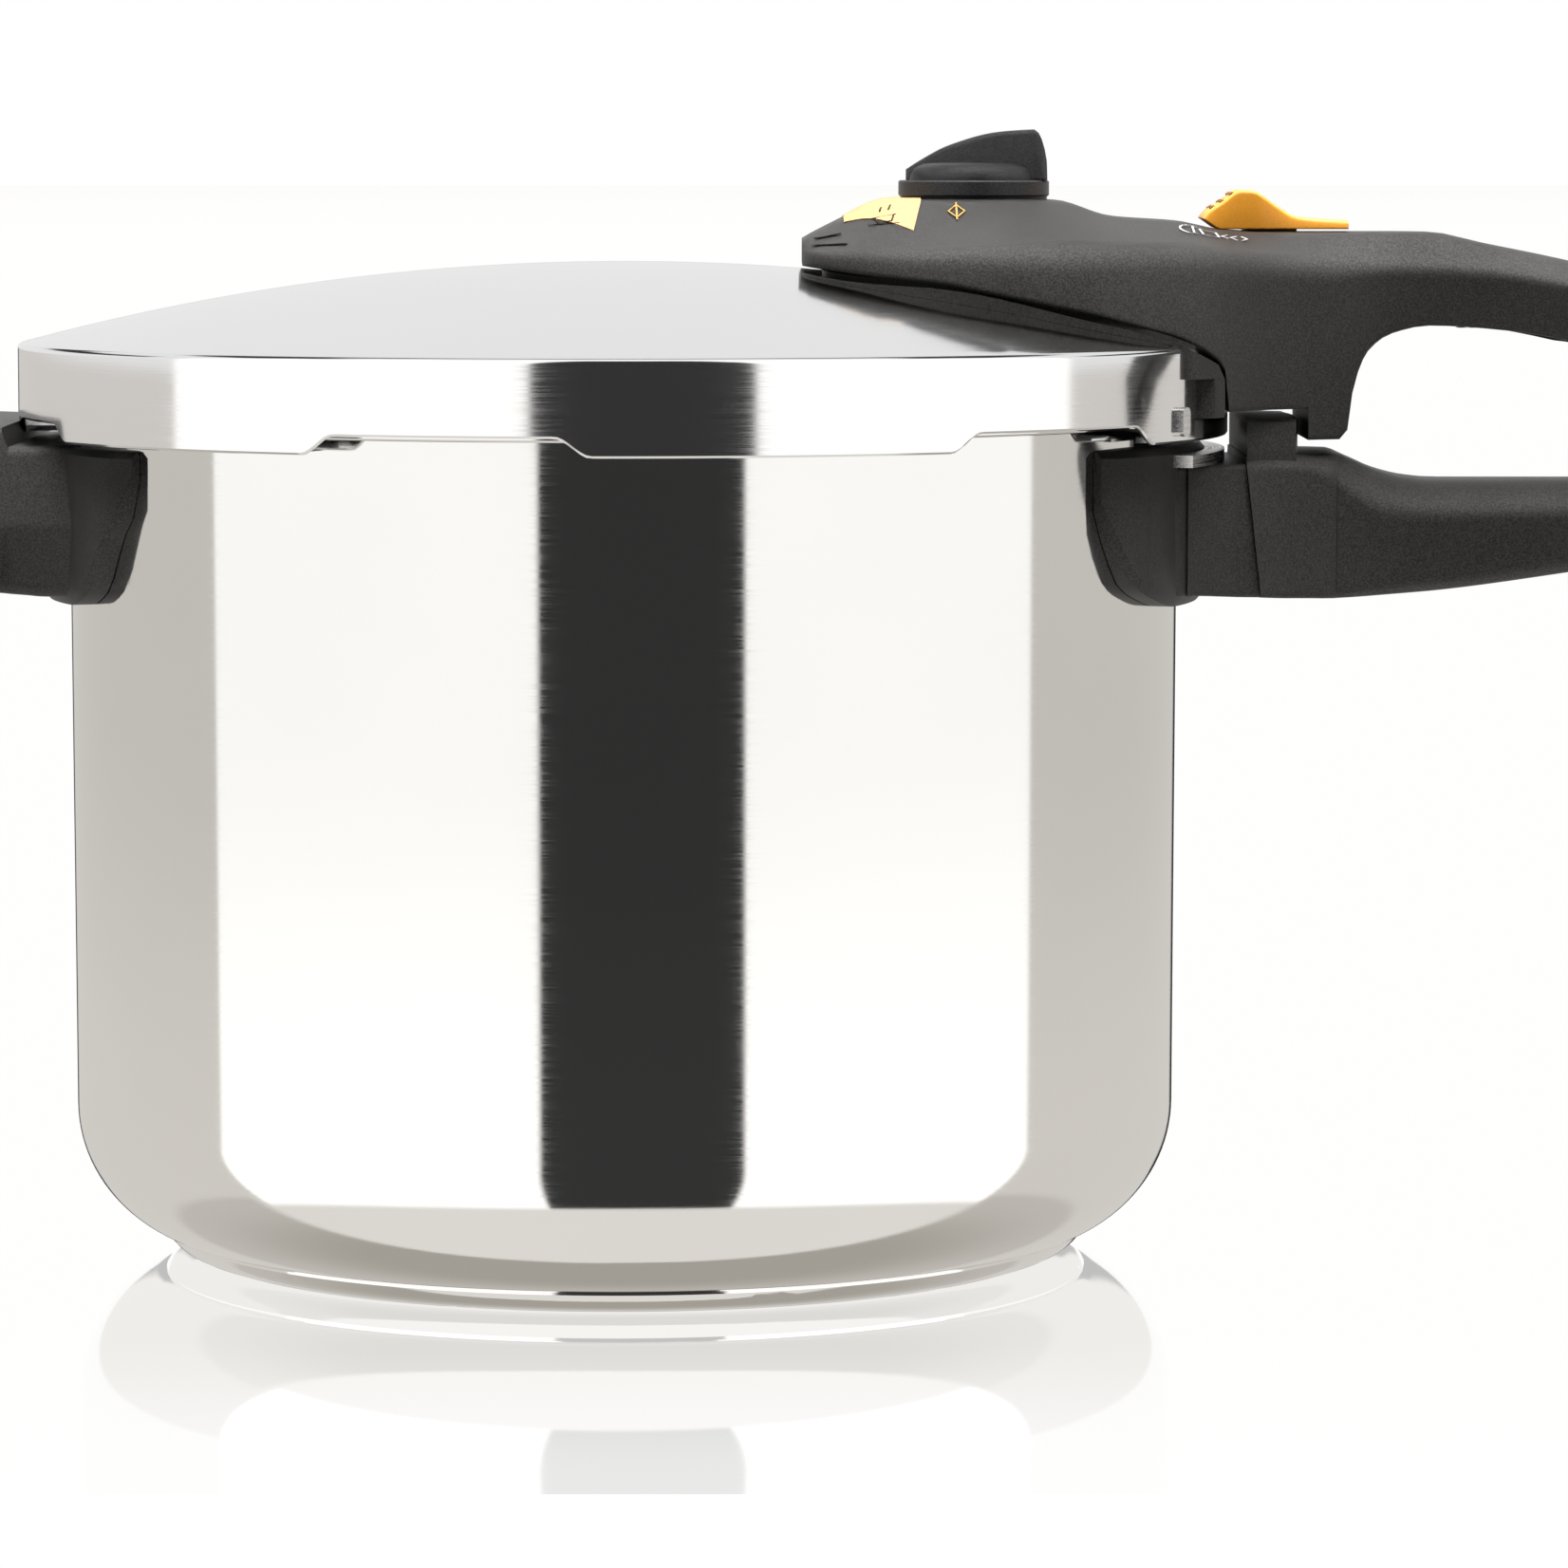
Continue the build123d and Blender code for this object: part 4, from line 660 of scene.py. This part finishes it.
HELPER_ROWS = (
    (-104.8, 46.4, 133.4, 48.0, 147.6, 45.0, 163.0),
    (-110.0, 43.4, 133.2, 45.2, 147.4, 42.2, 163.0),
    (-113.2, 42.2, 133.2, 44.0, 147.3, 41.0, 162.6),
    (-116.0, 41.4, 133.4, 43.2, 147.2, 40.2, 162.4),
    (-119.6, 40.4, 133.6, 42.4, 147.2, 39.2, 162.4),
    (-120.8, 41.2, 133.8, 42.0, 147.2, 38.5, 166.2),
    (-126.0, 39.2, 134.0, 40.0, 147.4, 34.0, 166.6),
    (-134.0, 36.0, 135.0, 37.2, 148.0, 30.0, 167.0),
    (-142.0, 32.0, 136.4, 33.6, 149.0, 26.0, 166.8),
    (-149.0, 26.5, 139.2, 28.4, 150.4, 20.0, 165.2),
    (-154.0, 19.0, 143.0, 21.6, 152.0, 13.0, 162.4),
    (-157.0, 10.0, 148.6, 12.6, 153.6, 6.0, 158.8),
    (-157.9, 3.0, 152.0, 5.0, 153.8, 2.0, 156.0))


def build_helper_grip():
    """Helper handle: a broad rounded lug with a finger edge."""
    stops = [-104.8, -105.4, -107.5, -110.0, -112.6, -113.2, -114.2, -116.0, -118.0, -119.5, -120.0, -120.8]
    stops += [-122.0 - 2.0 * i for i in range(15)]
    stops += [-151.6, -153.0, -154.4, -155.6, -156.6, -157.4, -157.9]
    table = tuple(sorted(HELPER_ROWS))
    rows = [grip_row(table, x, [3.0, 0.9, 2.0]) for x in stops]
    shape = lofted(clear_of_wall(rows, SEAT_R), keel=True)
    finished("helper_handle_outer", shape, "black_moulding", "pot", "helper_handle_grip", 38.0)


# ---------------------------------------------------------------- knob and lock button

KNOB_X = 70.1
KNOB_SEGMENTS = 96


def build_knob():
    """Turning knob on its seat: collar, domed body and a raised wing."""
    body = [(AXIS_R, 211.1), (13.2, 211.1), (13.3, 211.8), (13.4, 214.2), (13.1, 215.4), (12.2, 216.6),
            (10.6, 217.5), (7.0, 217.9), (AXIS_R, 218.0)]
    spun_piece("knob_dish", body, KNOB_SEGMENTS, KNOB_X, "knob_moulding", "knob", "knob_body")
    collar = [(13.5, 211.0), (14.8, 211.0), (15.1, 211.3), (15.1, 213.9), (14.8, 214.2), (13.7, 214.2),
              (13.5, 214.0)]
    spun_piece("knob_collar", collar, KNOB_SEGMENTS, KNOB_X, "dark_moulding", "knob", "knob_ring")
    seat = [(AXIS_R, 209.6), (14.6, 209.6), (14.7, 210.95), (AXIS_R, 210.95)]
    spun_piece("knob_seat", seat, KNOB_SEGMENTS, KNOB_X, "dark_moulding", "lid", None)
    crest = ((56.4, 216.2), (59.5, 218.2), (65.1, 221.1), (74.6, 223.7), (80.0, 224.15), (82.4, 224.25))
    heights = [(56.5, 216.3)] + [(57.0 + 1.4 * i, eased(crest, 57.0 + 1.4 * i)[0]) for i in range(19)]
    heights += [(83.0, 223.6), (83.6, 222.4), (84.2, 220.4), (84.6, 218.2)]
    rows = []
    for x, height in heights:
        spread = min((x - 54.0) / 31.0, 1.0)
        low_half = 1.8 + 5.2 * spread
        top_half = 0.7 + 3.4 * spread
        corners = [(0.0, 214.25), (low_half, 214.25), (top_half, height), (0.0, height + 0.1)]
        rows.append(both_sides(x, rounded(corners, [0.4, 1.0], 4)))
    finished("knob_grip", lofted(rows), "knob_moulding", "knob", "knob_wing", 40.0)


# Top of the thumb slide along its middle: x, height
SLIDE_TOP = ((115.6, 206.8), (116.4, 207.9), (119.4, 209.9), (123.2, 212.3), (125.6, 212.2), (127.4, 211.2),
             (131.0, 208.7), (134.0, 207.1), (138.0, 206.6), (144.7, 206.2))
SLIDE_LOW_Z = 204.5
RIB_PITCH = 1.9
RIB_SIDE = 4.2           # from the middle plane to a rib's middle
RIB_TILT = -33.0


def build_button():
    """Thumb slide: ribbed slope at the front, crest, low tail."""
    rows = []
    for x in [115.6, 116.0, 116.6] + [117.4 + 0.8 * i for i in range(25)] + [139.0, 141.0, 143.0, 144.3, 144.7]:
        top = eased(SLIDE_TOP, x)[0]
        low = SLIDE_LOW_Z if x > 118.6 else SLIDE_LOW_Z + (118.6 - x) * 0.72
        narrow = min(max((x - 127.0) / 8.0, 0.0), 1.0) * 1.6
        corners = [(0.0, low), (8.9 - narrow, low), (8.5 - narrow, top), (0.0, top + 0.05)]
        rows.append(both_sides(x, rounded(corners, [0.3, 0.9], 4)))
    shape = lofted(rows)
    add_block(shape, 124.0, 134.6, 3.7, 201.2, 205.0)
    finished("lock_thumb_slide", shape, "amber_moulding", "lock", "lock_button", 40.0)
    for i in range(3):
        for side in (-1, 1):
            build_rib(i, side)


def build_rib(i, side):
    """One raised rib on the slide's slope, left or right of its middle, in a darker amber that paints shade
    onto the ribs.
    """
    shape = bmesh.new()
    add_block(shape, -0.45, 0.45, 2.6, -0.2, 0.25)
    bmesh.ops.bevel(shape, geom=shape.edges[:], offset=0.1 * MM, segments=2, profile=0.5, material=-1,
                    affect="EDGES")
    x = 117.6 + RIB_PITCH * i
    place = Matrix.Translation((x * MM, side * RIB_SIDE * MM, eased(SLIDE_TOP, x)[0] * MM))
    turn = Matrix.Rotation(math.radians(RIB_TILT), 4, "Y")
    bmesh.ops.transform(shape, verts=shape.verts, matrix=place @ turn)
    finished(f"lock_slide_rib_{i}_{side + 1}", shape, "amber_painted_shade", "lock", None, 30.0)


# ---------------------------------------------------------------- marks on the lid handle

PRINT_LIFT = 0.28        # middle of a printed line above the moulding
PRINT_T = 0.12
INLAY_LIFT = 0.22
INLAY_DEPTH = 0.3
INLAY_X0 = 43.9
INLAY_LENGTH = 15.3


def slope_point(x, down, lift):
    """Place on the near side's slope: down runs from 0 at the deck's edge to 1 at the shoulder."""
    _, _, side_half, side_z, top_half, top_z = eased(HANDLE_ROWS, x)
    edge = Vector((x, -top_half, top_z))
    fall = Vector((x, -side_half, side_z)) - edge
    out = Vector((0.0, -abs(fall.z), abs(fall.y))).normalized()
    return (edge + fall * down + out * lift) * MM


def build_strokes(name, material, strokes, width):
    """Printed lines on the slope, each a list of (x, down) points."""
    shape = bmesh.new()
    for line in strokes:
        places = [slope_point(*point, PRINT_LIFT) for point in line]
        for a, b in zip(places, places[1:]):
            run = b - a
            turn = run.to_track_quat("X", "Z").to_matrix().to_4x4()
            size = Matrix.Diagonal((run.length + width * MM * 0.6, width * MM, PRINT_T * MM, 1.0))
            place = Matrix.Translation((a + b) / 2)
            bmesh.ops.create_cube(shape, size=1.0, matrix=place @ turn @ size)
    finished(name, shape, material, "lid", None, 30.0)


def arc_points(x, down, across, tall, low, high):
    """Stroke along an ellipse on the slope, from one angle to another in degrees."""
    turns = [math.radians(low + (high - low) * i / 10) for i in range(11)]
    return [(x + across * math.cos(a), down - tall * math.sin(a)) for a in turns]


def build_inlay():
    """Amber inlay wrapped over the nose from one slope to the other."""
    rows = []
    for i in range(13):
        t = i / 12
        foot = 0.12 + 0.46 * t
        x = INLAY_X0 + INLAY_LENGTH * t
        top_half, top_z = eased(HANDLE_ROWS, x)[4:]
        skins = []
        for lift in (INLAY_LIFT, -INLAY_DEPTH):
            half = []
            for down in (foot, foot / 2, 0.03):
                half.append(slope_point(INLAY_X0 + (INLAY_LENGTH - 3.1 * down) * t, down, lift))
            half.append(Vector((x, -top_half * 0.8, top_z + 0.12 + lift)) * MM)
            skins.append(half + [Vector((p.x, -p.y, p.z)) for p in reversed(half)])
        rows.append(skins[0] + skins[1][::-1])
    finished("nose_inlay", lofted(rows), "amber_panel", "lid", "label_panel", 30.0)


def build_marks():
    """Amber inlay with a steaming pan, a valve diamond and a lid-lock symbol."""
    build_inlay()
    pan = [[(49.4, 0.30), (54.0, 0.28)], [(50.0, 0.31), (50.5, 0.41), (53.2, 0.40), (53.6, 0.30)],
           [(50.9, 0.20), (51.2, 0.13)], [(52.6, 0.19), (53.0, 0.11)], [(48.6, 0.42), (54.6, 0.44)]]
    build_strokes("inlay_pan_symbol", "mark_dark", pan, 0.34)
    lines = [[(38.2, 0.30), (43.0, 0.42)], [(37.8, 0.62), (44.2, 0.74)]]
    build_strokes("nose_lines", "mark_dark", lines, 0.7)
    diamond = [[(64.4, 0.24), (66.0, 0.12), (67.6, 0.24), (66.0, 0.36), (64.4, 0.24)],
               [(66.0, 0.08), (66.0, 0.40)]]
    build_strokes("valve_mark", "mark_amber", diamond, 0.34)
    ring = [arc_points(112.4, 0.30, 2.3, 0.16, 60, 300), [(112.8, 0.17), (112.8, 0.43)]]
    pot = [[(114.2, 0.22), (117.4, 0.22), (117.8, 0.40), (114.6, 0.42), (114.2, 0.22)]]
    arrows = [[(119.6, 0.26), (118.4, 0.33), (119.6, 0.40)], [(121.4, 0.28), (120.2, 0.35), (121.4, 0.42)],
              [(122.6, 0.28), (123.6, 0.35), (122.6, 0.42)]]
    build_strokes("lock_mark", "mark_white", ring + pot + arrows, 0.36)


# ---------------------------------------------------------------- stage, light and camera

POLISH_END_Y = -0.2636   # front edge of the table's polished stretch, in metres
PANEL = (1.17, 1.155, 1.13, 1)
CARD = (0.034, 0.034, 0.034, 1)
DIM_GAP = (0.05, 0.05, 0.05, 1)
DARK_GAP = (0.03, 0.03, 0.03, 1)
ROOF = (1.1, 1.1, 1.1, 1)
BACK_WALL = (0.83, 0.83, 0.83, 1)
TABLE_NEAR = (0.745, 0.72, 0.69, 1)
TABLE_FAR = (0.638, 0.612, 0.58, 1)
TABLE_SHADE = (0.26, 0.24, 0.20, 1)


def floor():
    """Pale polished table top."""
    mesh = bpy.data.meshes.new("table_top")
    shape = bmesh.new()
    bmesh.ops.create_grid(shape, x_segments=1, y_segments=1, size=40.0)
    shape.to_mesh(mesh)
    shape.free()
    table = bpy.data.objects.new("table_top", mesh)
    bpy.context.scene.collection.objects.link(table)
    table.location.z = -0.0002
    material = bpy.data.materials.new("table_white")
    material.use_nodes = True
    n = Nodes(material.node_tree)
    glow = n.add("ShaderNodeEmission")
    glow.inputs["Color"].default_value = (1.0, 0.998, 0.994, 1)
    glow.inputs["Strength"].default_value = 1.01
    mirror = n.add("ShaderNodeBsdfGlossy")
    mirror.inputs["Color"].default_value = (1.19, 1.185, 1.18, 1)
    mirror.inputs["Roughness"].default_value = 0.02
    blend = n.add("ShaderNodeMixShader")
    split = n.add("ShaderNodeSeparateXYZ")
    n.feed(split.inputs[0], n.add("ShaderNodeTexCoord").outputs["Object"])
    polished = n.math("GREATER_THAN", split.outputs[1], POLISH_END_Y)
    strength = n.ease(split.outputs[1], -0.25, -0.10, 0.20, 0.50)
    n.feed(blend.inputs[0], n.math("MULTIPLY", polished, strength))
    n.feed(blend.inputs[1], glow.outputs[0])
    n.feed(blend.inputs[2], mirror.outputs[0])
    n.feed(n.add("ShaderNodeOutputMaterial").inputs["Surface"], blend.outputs[0])
    mesh.materials.append(material)
    table.visible_glossy = False
    table.visible_diffuse = False


def studio():
    """White room with two tall panels, a dark card between them, dark gaps and a roof light.

    Azimuth 0 is towards the camera. Mirror-like surfaces see the panels; matt ones get the light
    from above and from the table.
    """
    world = bpy.data.worlds.new("studio")
    bpy.context.scene.world = world
    world.use_nodes = True
    n = Nodes(world.node_tree)
    split = n.add("ShaderNodeSeparateXYZ")
    n.feed(split.inputs[0], n.add("ShaderNodeTexCoord").outputs["Generated"])
    x, y, z = split.outputs
    azimuth = n.math("DEGREES", n.math("ARCTAN2", x, n.math("MULTIPLY", y, -1.0)))
    height = n.math("DEGREES", n.math("ARCSINE", z))

    def between(value, low, high, soft):
        up = n.ease(value, low - soft, low + soft)
        return n.math("MULTIPLY", up, n.ease(value, high - soft, high + soft, 1.0, 0.0))

    behind = n.math("SUBTRACT", 1.0, between(azimuth, -93.0, 93.0, 3.0))
    table = n.mix(n.ease(height, -34.0, -30.0), TABLE_NEAR, TABLE_FAR)
    low_behind = n.math("MULTIPLY", behind, n.ease(height, -30.0, -34.0))
    shade = n.math("MULTIPLY", n.ease(height, -62.0, -34.0, 0.75, 0.45), low_behind)
    table = n.mix(shade, table, TABLE_SHADE)
    room = n.mix(n.ease(height, -0.9, 0.8), table, BACK_WALL)
    tall = between(height, -36.0, 75.0, 2.0)
    left = n.math("MULTIPLY", between(azimuth, -91.0, -16.0, 0.7), tall)
    right = n.math("MULTIPLY", between(azimuth, 25.5, 93.0, 0.7), tall)
    card = n.math("MULTIPLY", between(azimuth, -16.0, 25.5, 0.5), between(height, -36.0, 70.0, 1.5))
    lit = n.mix(n.math("ADD", left, right, clamp=True), room, PANEL)
    lit = n.mix(card, lit, CARD)
    gap = n.math("MULTIPLY", between(height, 44.0, 62.0, 2.0), behind)
    lit = n.mix(n.ease(height, 74.0, 80.0), lit, ROOF)
    lit = n.mix(gap, lit, DIM_GAP)
    side = n.math("ABSOLUTE", azimuth)
    low_gap = n.math("MULTIPLY", between(side, 104.0, 161.0, 2.0), between(height, 18.0, 28.0, 1.5))
    rear = n.math("MULTIPLY", n.ease(side, 165.0, 169.0), between(height, -13.0, -1.1, 0.3))
    lit = n.mix(n.math("ADD", low_gap, rear, clamp=True), lit, DARK_GAP)
    from_table = n.ease(height, -76.0, -44.0, 8.0, 0.03)
    soft = n.math("ADD", from_table, n.ease(height, 44.0, 76.0, 0.0, 27.0))
    path = n.add("ShaderNodeLightPath")
    lit = n.mix(path.outputs["Is Diffuse Ray"], lit, soft)
    background = n.add("ShaderNodeBackground")
    n.feed(background.inputs["Color"], n.mix(path.outputs["Is Camera Ray"], lit, (1.0, 1.0, 1.0, 1)))
    n.feed(n.add("ShaderNodeOutputWorld").inputs["Surface"], background.outputs[0])
    bpy.context.scene.view_settings.view_transform = "Standard"


def camera():
    """Long lens, a little above the lid, looking slightly down."""
    data = bpy.data.cameras.new("camera")
    data.sensor_width = 36.0
    data.lens = 156.3
    data.clip_end = 100.0
    holder = bpy.data.objects.new("camera", data)
    bpy.context.scene.collection.objects.link(holder)
    holder.location = (0.0321, -1.3692, 0.2204)
    holder.rotation_euler = (math.pi / 2 - 0.093, 0.0, 0.0)
    bpy.context.scene.camera = holder


camera()
studio()
floor()
dress_frame()
build_pot()
build_lid()
build_handle_body()
build_lower_grip()
build_yoke("pot_handle_shield", "pot_handle_yoke", 0.0, SHIELD_FOOT)
build_yoke("helper_handle_shield", "helper_handle_yoke", 180.0, HELPER_FOOT)
build_helper_grip()
build_knob()
build_button()
build_marks()
